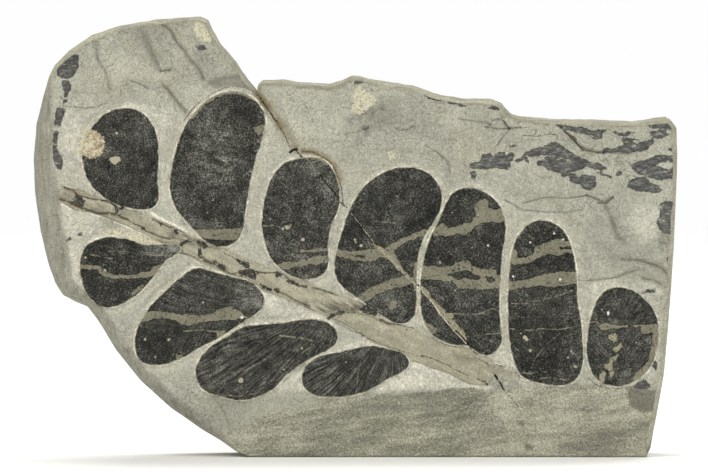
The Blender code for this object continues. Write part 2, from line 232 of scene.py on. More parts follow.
# A film reaches a little past its solid, and a little further where the next leaflet is nearer than this.
FILM_SPREAD = 0.04
CLOSE_SPREAD = 0.05
CLOSE_LEAFLETS = 1.4
leaf_loops = {}
for name, loop in solid_loops.items():
    others = [other for key, other in solid_loops.items() if key != name]
    room = np.min([line_distance(loop, other, closed=True) for other in others], axis=0)
    spread = FILM_SPREAD + CLOSE_SPREAD * smooth_step((CLOSE_LEAFLETS - room) / 0.5)
    leaf_loops[name] = loop + outward(loop, 2) * spread[:, None]
stem_loop = resample(outline_of("rachis", FILM_MIDDLE_Y), 0.3)
# The cut misses the row of corners that the solid has at the start of its sides.
slab_loop = resample(outline_of("shale_slab", SIDE_START_Y - 0.03), 0.5)
print("fossil plane at y =", round(FOSSIL_Y, 2), "mm; slab outline has", len(slab_loop), "points")

# %% [markdown]
# ## Where the markings are
#
# The reference photograph shows the face square on, five pixels to a millimetre, so a marking's place is read
# off it in pixels and turned to millimetres on the slab by one function. The shapes have only the corners
# that their outline needs. The fine raggedness comes from the material.

# %% From the photograph to the slab
PIXELS_PER_MM = 5.0
FOOT_MIDDLE_PIXEL = (355.0, 458.0)
CRACK_SPACING = 0.5
CRACK_BENDS = 1.1


def on_slab(pixels):
    """(x, z) in mm for pixels of the photograph."""
    pixels = np.asarray(pixels, float)
    right = (pixels[..., 0] - FOOT_MIDDLE_PIXEL[0]) / PIXELS_PER_MM
    up = (FOOT_MIDDLE_PIXEL[1] - pixels[..., 1]) / PIXELS_PER_MM
    return np.stack([right, up], axis=-1)


def cracks(rows):
    """Lines in mm with their measures. A row has how far its line is shaken, its pixels and its measures."""
    lines = []
    for shake, pixels, *measures in rows:
        line = evenly(on_slab(pixels), CRACK_SPACING)
        bends = np.column_stack([rock_noise(line, CRACK_BENDS, seed) for seed in (60, 61)])
        lines.append((line + shake * bends, *measures))
    return lines


def from_pixel(points, x, y):
    """Distance in mm from each point to a pixel's place on the slab."""
    return np.linalg.norm(points - on_slab((x, y)), axis=1)


def beside(line, spacing, offsets):
    """Points along a line in mm, and at some offsets beside it, for a mesh to pass through."""
    even = evenly(line, spacing)
    along = np.gradient(even, axis=0)
    side = np.column_stack([along[:, 1], -along[:, 0]]) / np.linalg.norm(along, axis=1)[:, None]
    return np.vstack([even + side * offset for offset in offsets])


# %% [markdown]
# ### The coal films
#
# Most of each leaflet still has its film of coal. In crossing bands it has flaked off with the layer above,
# and the brown-grey shale shows. Small islands of film are left in those bands.

# %% Flaked bands and islands
BARE_BANDS = [
    [(192, 229), (205, 229), (222, 228), (240, 228), (246, 231), (245, 239), (225, 240), (212, 239),
     (200, 237)],
    [(254, 126), (262, 124), (268, 126), (266, 133), (258, 135), (254, 131)],
    [(189, 118), (196, 108), (203, 100), (214, 93), (226, 89), (240, 89), (258, 97), (255, 101), (239, 94),
     (227, 94), (216, 98), (206, 104), (199, 111), (194, 119)],
    [(300, 152), (314, 154), (324, 158), (331, 164), (328, 166), (318, 160), (306, 157)],
    [(283, 225), (291, 223), (292, 228), (286, 230)],
    [(299, 249), (314, 248), (331, 247), (331, 251), (314, 252), (300, 252)],
    [(276, 265), (286, 261), (300, 260), (315, 256), (332, 254), (332, 262), (315, 264), (300, 266),
     (280, 270)],
    [(336, 249), (353, 251), (374, 248), (385, 247), (401, 238), (421, 230), (436, 226), (436, 232),
     (424, 236), (408, 240), (394, 250), (397, 257), (403, 268), (399, 270), (390, 260), (383, 256),
     (370, 261), (352, 260), (336, 255)],
    [(346, 304), (357, 296), (368, 289), (375, 285), (388, 280), (402, 276), (414, 275), (418, 281),
     (405, 286), (392, 288), (378, 293), (368, 300), (356, 306)],
    [(388, 311), (388, 303), (394, 299), (398, 301), (396, 308)],
    [(431, 236), (438, 224), (444, 223), (448, 228), (458, 225), (465, 223), (472, 221), (475, 212),
     (473, 206), (478, 201), (484, 198), (488, 200), (489, 208), (495, 209), (502, 208), (507, 215),
     (506, 221), (495, 222), (484, 222), (475, 225), (471, 231), (466, 234), (456, 234), (449, 236),
     (442, 235)],
    [(418, 265), (438, 266), (451, 266), (456, 262), (469, 259), (472, 265), (481, 268), (495, 269),
     (505, 265), (505, 288), (488, 289), (475, 289), (458, 288), (452, 281), (438, 280), (418, 279)],
    [(420, 323), (430, 322), (437, 328), (436, 333), (424, 332)],
    [(508, 249), (517, 250), (517, 257), (525, 257), (533, 254), (534, 250), (536, 246), (546, 242),
     (551, 240), (560, 238), (565, 240), (580, 241), (580, 253), (567, 253), (557, 256), (553, 254),
     (547, 254), (536, 258), (531, 262), (519, 264), (508, 264)],
    [(506, 281), (522, 280), (535, 276), (547, 273), (560, 271), (580, 272), (580, 283), (566, 285),
     (553, 287), (541, 285), (528, 287), (506, 290)],
    [(598, 325), (607, 322), (617, 325), (630, 324), (640, 324), (662, 323), (662, 332), (650, 332),
     (645, 334), (641, 332), (640, 327), (630, 326), (618, 328), (608, 329), (601, 330)],
    [(652, 330), (660, 330), (657, 348), (652, 342)],
    [(651, 346), (658, 344), (656, 362), (648, 374), (636, 384), (631, 379), (636, 372), (641, 368),
     (648, 361)],
    [(76, 263), (93, 264), (100, 265), (106, 271), (112, 274), (127, 274), (137, 273), (147, 271), (158, 265),
     (171, 259), (170, 267), (160, 273), (148, 277), (136, 278), (126, 278), (110, 278), (103, 276),
     (97, 269), (76, 268)],
    [(131, 293), (137, 287), (144, 284), (144, 288), (138, 292), (133, 295)],
    [(138, 322), (146, 312), (155, 310), (178, 313), (192, 314), (209, 314), (215, 311), (225, 306),
     (233, 306), (242, 312), (249, 318), (238, 319), (219, 320), (205, 321), (199, 322), (189, 325),
     (182, 324), (176, 320), (168, 318), (158, 317), (146, 321)],
    [(215, 331), (228, 330), (224, 334), (218, 338)],
    [(176, 354), (183, 354), (182, 360), (177, 361)],
    [(414, 262), (421, 262), (421, 291), (413, 291)],
]
FILM_ISLANDS = [
    [(448, 274), (455, 272), (460, 270), (468, 270), (474, 273), (482, 276), (478, 279), (470, 279),
     (463, 277), (458, 280), (453, 277)],
    [(486, 276), (492, 276), (495, 280), (490, 282), (486, 280)],
    [(495, 268), (501, 267), (502, 274), (497, 275)],
    [(352, 254), (366, 255), (364, 257), (354, 257)],
    [(592, 330), (600, 328), (599, 332)],
    [(560, 247), (571, 246), (572, 248), (561, 249)],
]
# Strips along the great break where the film came off with its clay.
FLAKED_STRIPS = [
    [(422, 285), (429, 291), (431, 296), (438, 304), (444, 308), (446, 312), (454, 313), (453, 319),
     (458, 325), (465, 332), (467, 342), (462, 338), (452, 328), (448, 321), (439, 314), (431, 301),
     (419, 288)],
    [(607, 337), (611, 333), (615, 332), (617, 335), (617, 341), (613, 344), (612, 341), (609, 339)],
    [(614, 347), (617, 345), (621, 343), (622, 346), (619, 350), (616, 352), (613, 350)],
    [(610, 358), (614, 355), (619, 353), (616, 358), (614, 361)],
    [(603, 365), (607, 364), (610, 359), (613, 361), (613, 367), (611, 370), (607, 370), (604, 367)],
    [(600, 372), (604, 370), (606, 373), (605, 377), (604, 384), (599, 384)],
    [(609, 372), (613, 370), (615, 373), (612, 377), (609, 376)],
    [(373, 243), (379, 245), (387, 251), (395, 259), (402, 269), (398, 270), (389, 259), (380, 251),
     (374, 247)],
]
print(len(BARE_BANDS), "flaked patches,", len(FILM_ISLANDS), "islands of film")

# %% [markdown]
# Thin tan lines are cracks in the film that opened when the rock was bent. The widest follows the break that
# runs across the slab. Pale dots are grains of mineral, and some places lost so much film that the rock
# shines through.

# %% Lines, dots and thin places in the film
# Each row: how far its line is shaken in mm, its pixels and its width in mm.
FLAKED_CRACKS = cracks([
    (0.15, [(373, 243), (387, 253), (402, 270), (416, 284)], 0.5),
])
FILM_CRACKS = cracks([
    (0.08, [(306, 157), (311, 163), (315, 169), (320, 174)], 0.2),
    (0.15, [(454, 313), (465, 314), (476, 314), (489, 309), (500, 309)], 0.22),
    (0.15, [(468, 336), (484, 334), (502, 333)], 0.22),
    (0.08, [(511, 303), (527, 303), (541, 299), (560, 295), (572, 290)], 0.16),
    (0.08, [(508, 328), (520, 329), (530, 330), (540, 328), (560, 329), (570, 327), (582, 325)], 0.2),
    (0.05, [(590, 322), (597, 321), (600, 324)], 0.26),
    (0.05, [(513, 345), (518, 350)], 0.14),
    (0.06, [(531, 368), (535, 358), (547, 343), (560, 333)], 0.1),
    (0.15, [(80, 252), (97, 255), (113, 258)], 0.2),
    (0.15, [(110, 251), (124, 251), (137, 253)], 0.2),
    (0.15, [(146, 254), (160, 255), (174, 255)], 0.22),
    (0.15, [(184, 331), (198, 329), (214, 331), (226, 330)], 0.22),
    (0.15, [(280, 335), (297, 337), (305, 338), (315, 342)], 0.28),
    (0.15, [(313, 346), (302, 352), (293, 361), (283, 370)], 0.12),
    (0.15, [(360, 363), (358, 376), (356, 393)], 0.12),
    (0.15, [(220, 394), (240, 396), (257, 393)], 0.18),
    (0.08, [(519, 373), (525, 372), (528, 374), (540, 371), (546, 372)], 0.26),
    (0.08, [(540, 378), (550, 377), (557, 378), (568, 380)], 0.26),
    (0.15, [(263, 226), (274, 225), (286, 227)], 0.18),
    (0.15, [(372, 221), (392, 222), (412, 224)], 0.1),
])
DARK_CRACKS = cracks([
    (0.1, [(320, 174), (327, 184), (336, 194), (341, 201)], 0.2),
    (0.1, [(345, 204), (350, 211)], 0.25),
    (0.1, [(345, 206), (358, 223), (373, 243)], 0.12),
    (0.1, [(456, 330), (466, 341), (474, 351)], 0.25),
])
PALE_CRACKS = cracks([
    (0.1, [(418, 286), (431, 301), (442, 316), (452, 328), (466, 343)], 0.18),
    (0.12, [(347, 207), (351, 212), (360, 224), (368, 234), (374, 242)], 0.08),
    (0.2, [(380, 250), (388, 257), (394, 264), (404, 274), (414, 283)], 0.06),
])
# Dots where the rock shows: x and y in pixels, radius in mm.
ROCK_SPOTS = [
    (115, 160, 0.75), (118, 159, 0.55), (112, 159, 0.4), (117, 133, 0.3), (116, 132, 0.2), (303, 239, 0.3),
    (270, 219, 0.2), (287, 227, 0.4), (283, 228, 0.3), (356, 242, 0.22), (361, 245, 0.3), (355, 239, 0.15),
    (525, 337, 0.4), (527, 339, 0.3), (530, 350, 0.32), (521, 333, 0.2), (575, 366, 0.22), (577, 367, 0.2),
    (571, 351, 0.24), (573, 353, 0.2), (568, 357, 0.24), (572, 337, 0.16), (145, 339, 0.28), (169, 339, 0.3),
    (156, 357, 0.2), (241, 380, 0.5), (302, 348, 0.2), (284, 369, 0.25), (213, 200, 0.2), (208, 212, 0.2),
    (602, 309, 0.2), (639, 364, 0.16), (618, 368, 0.16), (86, 257, 0.2), (105, 270, 0.3), (420, 331, 0.2),
    (440, 262, 0.2), (455, 290, 0.15), (543, 262, 0.15), (346, 362, 0.18),
]
# White grains of mineral, the same way.
WHITE_GRAINS = [
    (224, 160, 0.14), (554, 233, 0.2), (530, 242, 0.2), (560, 279, 0.25), (488, 245, 0.2), (203, 302, 0.16),
    (472, 247, 0.12), (563, 239, 0.2), (608, 312, 0.24), (608, 314, 0.2), (330, 247, 0.14), (397, 196, 0.12),
    (452, 212, 0.12), (513, 276, 0.2), (126, 118, 0.12), (251, 171, 0.14), (636, 342, 0.12), (478, 215, 0.1),
    (242, 317, 0.3), (220, 180, 0.1), (390, 205, 0.1),
]
# Where the film is thinner, or thicker if the amount is below zero: x, y, radius and amount.
THIN_FILM = [
    (311, 316, 2.4, 0.9), (240, 279, 1.8, 0.9), (150, 247, 2.0, 0.8), (163, 247, 1.8, 1.1),
    (174, 248, 1.6, 1.4), (105, 272, 9.0, -0.5), (222, 160, 14.0, 0.45), (622, 335, 9.0, 0.5),
    (350, 375, 9.0, 0.25), (362, 272, 4.0, 0.8), (212, 165, 5.0, 0.5), (205, 135, 4.0, 0.4),
    (140, 130, 2.5, 0.6), (240, 106, 4.0, -0.7), (225, 112, 3.0, -0.3), (100, 175, 4.0, -0.4),
    (385, 205, 6.0, 0.1), (322, 180, 3.6, 0.7), (300, 272, 3.2, 0.7), (250, 292, 3.0, 0.9),
    (205, 285, 4.0, 0.35), (292, 352, 4.0, 0.5), (235, 365, 5.0, 0.3), (495, 296, 5.0, 0.45),
    (452, 292, 3.5, 0.3), (620, 305, 3.5, 0.4), (568, 308, 3.0, 0.35), (208, 110, 3.5, 0.45),
    (240, 118, 5.0, 0.25), (215, 150, 5.0, 0.25), (410, 205, 4.0, 0.3), (225, 244, 3.0, -0.4),
    (390, 232, 3.0, 0.4), (640, 340, 3.0, 0.4), (320, 330, 3.0, 0.5), (480, 240, 4.0, 0.3),
    (388, 366, 3.0, 0.25), (427, 215, 3.0, -0.7), (540, 230, 4.0, -0.8), (452, 207, 4.0, -0.8),
    (150, 335, 4.5, -0.8), (352, 235, 3.0, -0.6), (545, 352, 5.5, -0.7), (608, 352, 3.5, -0.6),
    (110, 240, 3.5, -0.8), (540, 262, 3.5, -0.4), (290, 235, 3.0, -0.5), (160, 155, 4.0, -0.3),
    (395, 190, 4.0, -0.2), (250, 135, 3.0, -0.3), (360, 285, 3.5, -0.2), (430, 245, 4.0, -0.3),
    (100, 285, 4.0, -0.5), (180, 345, 4.0, -0.5), (255, 300, 3.0, 0.6), (190, 300, 4.0, 0.3),
]
# Where the film broke up into grains: x, y and radius.
GRAINY_FILM = [
    (278, 243, 2.4), (266, 243, 1.4), (365, 305, 4.0), (395, 302, 2.2), (104, 150, 1.2), (198, 228, 2.2),
    (215, 225, 1.4), (312, 168, 2.6), (330, 188, 2.2), (300, 258, 2.0), (158, 248, 3.0), (172, 250, 2.4),
    (385, 295, 2.4), (430, 336, 2.4), (630, 375, 1.6),
]
RUST_PATCHES = [
    [(80, 134), (86, 128), (96, 130), (103, 137), (106, 147), (101, 155), (90, 158), (76, 152)],
]
print(len(FILM_CRACKS), "thin cracks,", len(ROCK_SPOTS) + len(WHITE_GRAINS), "dots and grains")

# %% [markdown]
# ### The stem
#
# The stem broke into flat tan pieces before it was buried. Crumbs of its coal skin lie at the joints between
# them and along parts of both edges.

# %% Crumbs and lines of the stem
STEM_CRUMBS = [
    [(70, 203), (72, 200), (76, 199), (76, 195), (75, 191), (78, 192), (79, 195), (83, 197), (85, 200),
     (84, 205), (80, 207), (75, 205)],
    [(113, 203), (117, 206), (119, 210), (118, 214), (115, 213), (115, 208)],
    [(121, 205), (125, 207), (122, 210), (120, 209)],
    [(119, 212), (122, 214), (121, 217), (118, 215)],
    [(140, 225), (145, 227), (147, 231), (142, 229)],
    [(159, 221), (164, 223), (161, 226)],
    [(174, 228), (178, 229), (179, 234), (175, 234)],
    [(179, 245), (182, 241), (188, 239), (191, 241), (185, 243), (182, 246)],
    [(196, 239), (201, 241), (202, 245), (198, 244)],
    [(202, 241), (206, 242), (208, 246), (203, 248)],
    [(198, 248), (202, 248), (202, 254), (204, 257), (200, 258), (198, 254)],
    [(213, 260), (216, 259), (217, 263), (214, 264)],
    [(217, 262), (221, 263), (226, 267), (224, 270), (219, 267)],
    [(236, 258), (243, 260), (251, 263), (248, 268), (243, 266), (239, 263)],
    [(239, 270), (247, 268), (254, 269), (260, 272), (257, 275), (255, 280), (250, 278), (245, 276),
     (239, 274)],
    [(275, 271), (282, 273), (281, 277), (276, 276)],
    [(259, 283), (265, 285), (272, 288), (271, 291), (263, 288)],
    [(274, 288), (279, 288), (280, 292), (276, 292)],
    [(285, 279), (294, 280), (300, 284), (308, 286), (307, 288), (298, 286), (289, 283)],
    [(326, 318), (330, 314), (336, 312), (342, 309), (347, 311), (341, 314), (334, 316), (329, 319)],
    [(358, 308), (366, 304), (373, 306), (379, 310), (376, 316), (369, 314), (362, 312)],
    [(484, 381), (486, 381), (489, 385), (487, 385)],
    [(64, 241), (67, 238), (72, 236), (73, 238), (68, 241)],
    [(76, 236), (80, 232), (83, 232), (81, 236)],
]
# Thin lines: shake, pixels and width.
STEM_LINES = cracks([
    (0.1, [(62, 186), (68, 188), (74, 190), (77, 194)], 0.36),
    (0.1, [(78, 195), (86, 197), (94, 199), (103, 200), (110, 201), (115, 205)], 0.36),
    (0.1, [(60, 199), (66, 200), (73, 203)], 0.4),
    (0.1, [(73, 203), (81, 207), (90, 210), (99, 213), (108, 213), (116, 214)], 0.56),
    (0.1, [(116, 214), (122, 217), (128, 219)], 0.5),
    (0.1, [(128, 220), (134, 223), (141, 226), (146, 231)], 0.3),
    (0.1, [(148, 231), (155, 234), (162, 237), (170, 238)], 0.36),
    (0.1, [(152, 219), (158, 221), (166, 225), (174, 228)], 0.34),
    (0.2, [(110, 233), (115, 234), (122, 236)], 0.24),
    (0.2, [(179, 253), (190, 255), (200, 259)], 0.24),
    (0.1, [(204, 260), (211, 263)], 0.5),
    (0.2, [(204, 248), (207, 245), (211, 248), (221, 250), (230, 255), (239, 261)], 0.24),
    (0.2, [(201, 256), (210, 261), (214, 264), (223, 269), (234, 274), (240, 271)], 0.32),
    (0.1, [(257, 271), (266, 273), (275, 272), (284, 275), (290, 280)], 0.34),
    (0.1, [(312, 287), (320, 289), (330, 292), (337, 295)], 0.34),
    (0.1, [(380, 319), (388, 323), (394, 324)], 0.4),
    (0.05, [(360, 332), (365, 335)], 0.26),
    (0.2, [(279, 291), (293, 298), (307, 305)], 0.26),
    (0.2, [(335, 320), (343, 313), (358, 312), (375, 318), (383, 323), (403, 325), (413, 328)], 0.18),
    (0.2, [(433, 340), (457, 348), (487, 363)], 0.16),
    (0.2, [(335, 322), (358, 333), (380, 343), (400, 350), (423, 357)], 0.18),
    (0.2, [(422, 355), (434, 359), (448, 365), (467, 375)], 0.28),
    (0.2, [(477, 378), (487, 384)], 0.26),
    (0.1, [(404, 338), (407, 328)], 0.16),
    (0.1, [(365, 341), (369, 338)], 0.14),
])
# Thin bright edges where the scribe left a ridge beside the stem, pale powder with a painted highlight:
# shake, pixels and width.
PALE_RIDGES = cracks([
    (0.1, [(141, 207), (152, 213), (163, 219), (175, 225), (187, 231), (196, 236), (203, 243)], 0.6),
    (0.1, [(338, 281), (344, 289), (351, 296), (356, 301)], 0.7),
    (0.1, [(190, 267), (205, 268), (216, 271), (228, 275)], 0.4),
    (0.1, [(327, 321), (334, 325), (338, 331)], 0.4),
    (0.15, [(421, 333), (440, 338), (463, 348), (485, 358), (507, 368)], 0.24),
    (0.15, [(62, 204), (80, 209), (100, 216), (122, 224), (148, 236)], 0.24),
    (0.1, [(258, 290), (276, 299), (290, 306)], 0.24),
    (0.1, [(187, 258), (205, 265), (226, 273)], 0.24),
    (0.1, [(521, 379), (528, 382), (534, 384)], 0.3),
])
# Streaks where the stem's film is left as a grey-brown stain: shake, pixels, half width and strength.
STEM_STAINS = cracks([
    (0.15, [(60, 193), (90, 203), (116, 210)], 3.0, 0.6),
    (0.15, [(176, 234), (188, 236), (200, 241)], 1.3, 1.6),
    (0.15, [(303, 305), (320, 307), (340, 306), (362, 307)], 1.1, 1.7),
    (0.15, [(214, 262), (226, 268)], 0.8, 0.8),
    (0.15, [(458, 354), (472, 359), (487, 366)], 1.3, 0.5),
    (0.15, [(345, 312), (370, 325), (390, 332)], 1.2, 0.3),
])
print(len(STEM_CRUMBS), "crumbs and", len(STEM_LINES), "lines along the stem")

# %% [markdown]
# ### The rock face
#
# Above the leaflets the layer that once covered the frond still stands, up to a millimetre higher, with
# creases and steps where it broke. Scraps of other plants lie in it as dark grey coal. Where the scribe
# worked the rock is paler, and the sawn foot is darker.

# %% Coal scraps in the rock
COAL_SCRAPS = [
    [(57, 66), (63, 57), (71, 54), (79, 54), (79, 68), (73, 77), (64, 79), (58, 75)],
    [(61, 80), (68, 80), (72, 84), (71, 89), (68, 94), (68, 102), (64, 103), (65, 92)],
    [(57, 107), (66, 108), (64, 116), (61, 127), (55, 127), (55, 118)],
    [(54, 130), (59, 130), (58, 140), (57, 150), (63, 158), (62, 172), (57, 168), (53, 158), (53, 150)],
    [(469, 163), (480, 160), (482, 154), (490, 152), (493, 157), (496, 152), (503, 151), (507, 155),
     (510, 151), (515, 154), (512, 159), (510, 161), (511, 169), (502, 169), (495, 167), (485, 169),
     (478, 168), (469, 168)],
    [(470, 172), (474, 171), (477, 174), (475, 180), (471, 178)],
    [(483, 175), (486, 172), (489, 172), (487, 175)],
    [(507, 147), (510, 145), (517, 143), (517, 146), (511, 147)],
    [(514, 161), (519, 158), (524, 155), (527, 157), (531, 163), (528, 163), (524, 159), (520, 161),
     (516, 163)],
    [(521, 155), (527, 151), (534, 148), (540, 147), (546, 144), (552, 141), (558, 142), (564, 147),
     (572, 152), (580, 157), (590, 161), (600, 163), (609, 169), (600, 170), (585, 166), (575, 162),
     (565, 159), (560, 156), (550, 154), (540, 155), (530, 156)],
    [(535, 161), (541, 159), (545, 157), (551, 155), (556, 158), (561, 158), (570, 160), (582, 164),
     (585, 167), (578, 170), (570, 171), (560, 173), (553, 171), (547, 169), (544, 166), (538, 165)],
    [(560, 173), (568, 172), (575, 173), (577, 177), (582, 174), (589, 174), (595, 176), (597, 186),
     (593, 187), (590, 190), (584, 189), (579, 184), (574, 183), (569, 180), (569, 176), (564, 176),
     (563, 179)],
    [(594, 171), (603, 173), (613, 176), (612, 178), (602, 175)],
    [(615, 174), (618, 170), (622, 170), (621, 175), (616, 176)],
    [(555, 121), (561, 124), (572, 126), (582, 126), (592, 130), (601, 129), (608, 128), (606, 131),
     (602, 133), (602, 138), (596, 140), (591, 138), (588, 134), (580, 133), (570, 130), (560, 128)],
    [(606, 129), (616, 131), (622, 133), (628, 131), (635, 132), (628, 135), (623, 137), (616, 134)],
    [(602, 154), (603, 147), (612, 148), (619, 146), (625, 142), (632, 140), (636, 143), (641, 141),
     (652, 138), (655, 140), (648, 148), (641, 151), (629, 152), (612, 152), (606, 152)],
    [(620, 138), (628, 137), (638, 139), (634, 141), (622, 142)],
    [(641, 123), (650, 124), (662, 121), (670, 123), (678, 128), (677, 131), (665, 129), (658, 130),
     (650, 127)],
    [(648, 131), (660, 130), (669, 134), (664, 137), (656, 139), (650, 135)],
    [(664, 147), (670, 146), (675, 149), (674, 153), (670, 150)],
    [(630, 166), (634, 162), (641, 160), (648, 158), (655, 155), (662, 154), (679, 156), (679, 162),
     (664, 162), (654, 163), (656, 165), (662, 167), (669, 169), (675, 164), (679, 166), (679, 178),
     (668, 178), (660, 180), (650, 177), (640, 174), (634, 171)],
    [(629, 180), (636, 177), (646, 177), (650, 183), (657, 184), (662, 190), (658, 193), (648, 191),
     (636, 191), (631, 188), (626, 186)],
    [(657, 205), (664, 200), (674, 201), (677, 215), (675, 235), (662, 232), (656, 223), (660, 212)],
    [(665, 256), (676, 258), (677, 272), (671, 270)],
    [(645, 289), (655, 290), (654, 292), (646, 292)],
    [(655, 359), (658, 364), (656, 371), (652, 366)],
    [(631, 387), (636, 384), (640, 380), (645, 379), (649, 383), (650, 388), (645, 389), (638, 389)],
    [(408, 86), (418, 90), (434, 92), (431, 88), (418, 86)],
    [(422, 93), (435, 93), (447, 99), (440, 101), (428, 98)],
    [(446, 99), (455, 101), (468, 106), (458, 106), (448, 103)],
    [(487, 108), (494, 101), (500, 103), (504, 108), (497, 110)],
    [(352, 84), (356, 78), (364, 76), (366, 80), (360, 84)],
    [(554, 121), (558, 121), (561, 125), (556, 125)],
    [(195, 46), (203, 44), (208, 48), (204, 50), (198, 49)],
]
# Small grey scribbles, where a scrap is all but gone: x and y in pixels, radius in mm.
GREY_SMUDGES = [
    (146, 243, 0.8), (156, 240, 0.9), (166, 243, 1.0), (176, 246, 1.0), (183, 250, 0.8), (490, 122, 1.2),
    (535, 132, 1.0), (375, 113, 1.0), (360, 118, 1.2), (352, 122, 0.8), (366, 128, 1.2), (378, 122, 0.9),
    (374, 106, 0.7), (403, 127, 0.8), (412, 127, 0.7), (360, 141, 0.9), (382, 108, 0.7), (203, 57, 0.8),
    (198, 50, 0.7), (500, 118, 0.8), (128, 82, 0.9), (158, 90, 0.8), (508, 146, 0.8), (640, 152, 0.9),
    (590, 150, 1.0), (618, 160, 0.9), (663, 241, 1.6), (545, 177, 0.9), (605, 160, 0.8), (396, 82, 0.8),
    (420, 104, 0.7),
]
# Places where the scraps are worn thin and show grey.
WORN_SCRAPS = [
    (488, 159, 3.4), (560, 150, 3.0), (570, 165, 3.4), (595, 167, 2.4), (585, 181, 1.6), (655, 176, 1.6),
    (622, 140, 2.4), (660, 134, 1.8), (645, 186, 1.6), (664, 215, 2.4), (666, 232, 2.4), (575, 131, 1.6),
]
print(len(COAL_SCRAPS), "coal scraps in the rock")

# %% [markdown]
# Creases are small steps where the rock bent or broke. Each is carved into the face and also gets a painted
# shade band and a thin painted shadow line. The brown lines and stains are iron that water left in its
# cracks, and a few of the brown lines are painted shadows under lips and along the tops of grooves. Both are
# drawn as a line with a width, because a crack is about as wide all along.

# %% Creases, stains and pale places in the rock
# Each crease: shake, pixels, half width and depth in mm.
CREASES = cracks([
    (0.15, [(161, 24), (170, 29), (177, 42), (185, 51), (192, 61), (200, 69), (204, 79)], 0.6, 0.55),
    (0.15, [(147, 36), (152, 48), (157, 60), (161, 70)], 0.6, 0.3),
    (0.15, [(96, 40), (98, 60), (106, 71), (110, 89)], 0.6, 0.3),
    (0.15, [(163, 84), (170, 92), (177, 101), (186, 112)], 0.7, 0.45),
    (0.05, [(161, 71), (171, 69)], 0.22, 0.5),
    (0.15, [(131, 80), (141, 84), (148, 88)], 0.25, 0.35),
    (0.25, [(58, 107), (70, 106), (84, 107), (96, 107), (108, 103)], 0.16, 0.3),
    (0.15, [(206, 86), (222, 79), (236, 76), (248, 78)], 0.8, 0.3),
    (0.25, [(460, 119), (475, 121), (485, 122), (491, 124)], 0.22, 0.35),
    (0.2, [(485, 127), (505, 129), (520, 127)], 0.18, 0.3),
    (0.2, [(492, 120), (502, 119), (505, 125), (509, 129)], 0.18, 0.35),
    (0.2, [(497, 145), (503, 136), (511, 127)], 0.16, 0.25),
    (0.3, [(351, 117), (362, 114), (376, 112), (383, 106)], 0.18, 0.25),
    (0.3, [(345, 134), (358, 131), (372, 128)], 0.16, 0.2),
    (0.3, [(396, 128), (405, 130), (413, 125), (423, 128)], 0.16, 0.25),
    (0.15, [(426, 145), (434, 150), (442, 156), (449, 165), (450, 172)], 0.18, 0.35),
    (0.15, [(556, 122), (568, 134), (577, 144), (589, 151), (603, 152)], 0.3, 0.6),
    (0.15, [(603, 152), (628, 153), (648, 146)], 0.3, 0.4),
    (0.15, [(521, 203), (546, 197), (567, 198), (587, 195)], 0.22, 0.35),
    (0.15, [(587, 195), (604, 202), (613, 197)], 0.3, 0.5),
    (0.15, [(505, 200), (524, 210), (546, 212), (567, 212), (582, 209)], 0.22, 0.35),
    (0.15, [(605, 205), (611, 217), (615, 232), (622, 241)], 1.0, 0.4),
    (0.15, [(622, 259), (640, 260), (654, 264), (662, 269), (668, 276)], 0.5, 0.7),
    (0.15, [(576, 280), (596, 280), (613, 278), (636, 270)], 0.3, 0.35),
    (0.15, [(642, 278), (654, 280), (660, 284)], 0.3, 0.4),
    (0.15, [(648, 221), (660, 228), (673, 236)], 0.2, 0.3),
    (0.15, [(578, 252), (588, 251)], 0.2, 0.25),
    (0.15, [(636, 216), (646, 215)], 0.2, 0.25),
    (0.05, [(642, 293), (648, 291), (655, 289)], 0.2, 0.6),
    (0.05, [(664, 308), (671, 306)], 0.2, 0.35),
    (0.15, [(395, 140), (430, 136), (455, 140)], 0.2, 0.12),
    (0.15, [(490, 390), (494, 404), (492, 414), (503, 421), (508, 436), (509, 456)], 0.2, 0.12),
    (0.2, [(292, 397), (300, 403), (307, 397)], 0.2, 0.2),
    (0.1, [(327, 403), (332, 400)], 0.2, 0.25),
    (0.15, [(175, 386), (190, 390), (198, 398)], 0.2, 0.15),
    (0.15, [(212, 396), (224, 412), (230, 426)], 0.25, 0.2),
])
# The rock dips along the broken notch.
DIPS = cracks([(0.15, [(255, 90), (266, 104), (278, 120), (288, 133), (294, 147)], 0.8, 0.5)])
# Low swellings: x and y in pixels, radius and rise in mm.
MOUNDS = [(126, 66, 4.5, 0.4), (300, 115, 7.0, 0.2), (640, 225, 6.0, 0.35), (560, 270, 7.0, 0.2)]
# Each soft band: shake, pixels, half width in mm and strength.
BROWN_STAINS = cracks([
    (0.15, [(257, 92), (268, 107), (276, 120), (286, 133), (295, 147)], 0.95, 1.0),
    (0.15, [(264, 98), (278, 114), (290, 131), (298, 146)], 0.8, 0.4),
    (0.15, [(490, 365), (503, 369), (518, 376)], 1.1, 0.45),
    (0.15, [(112, 226), (135, 236), (160, 244), (195, 252)], 0.9, 0.35),
    (0.15, [(345, 316), (370, 330), (392, 338)], 0.8, 0.3),
    (0.15, [(418, 336), (428, 342), (438, 346)], 0.7, 0.7),
    (0.15, [(93, 306), (104, 325), (112, 343)], 0.5, 0.35),
    (0.15, [(303, 150), (314, 152), (325, 157), (334, 166), (340, 178)], 0.7, 1.0),
])
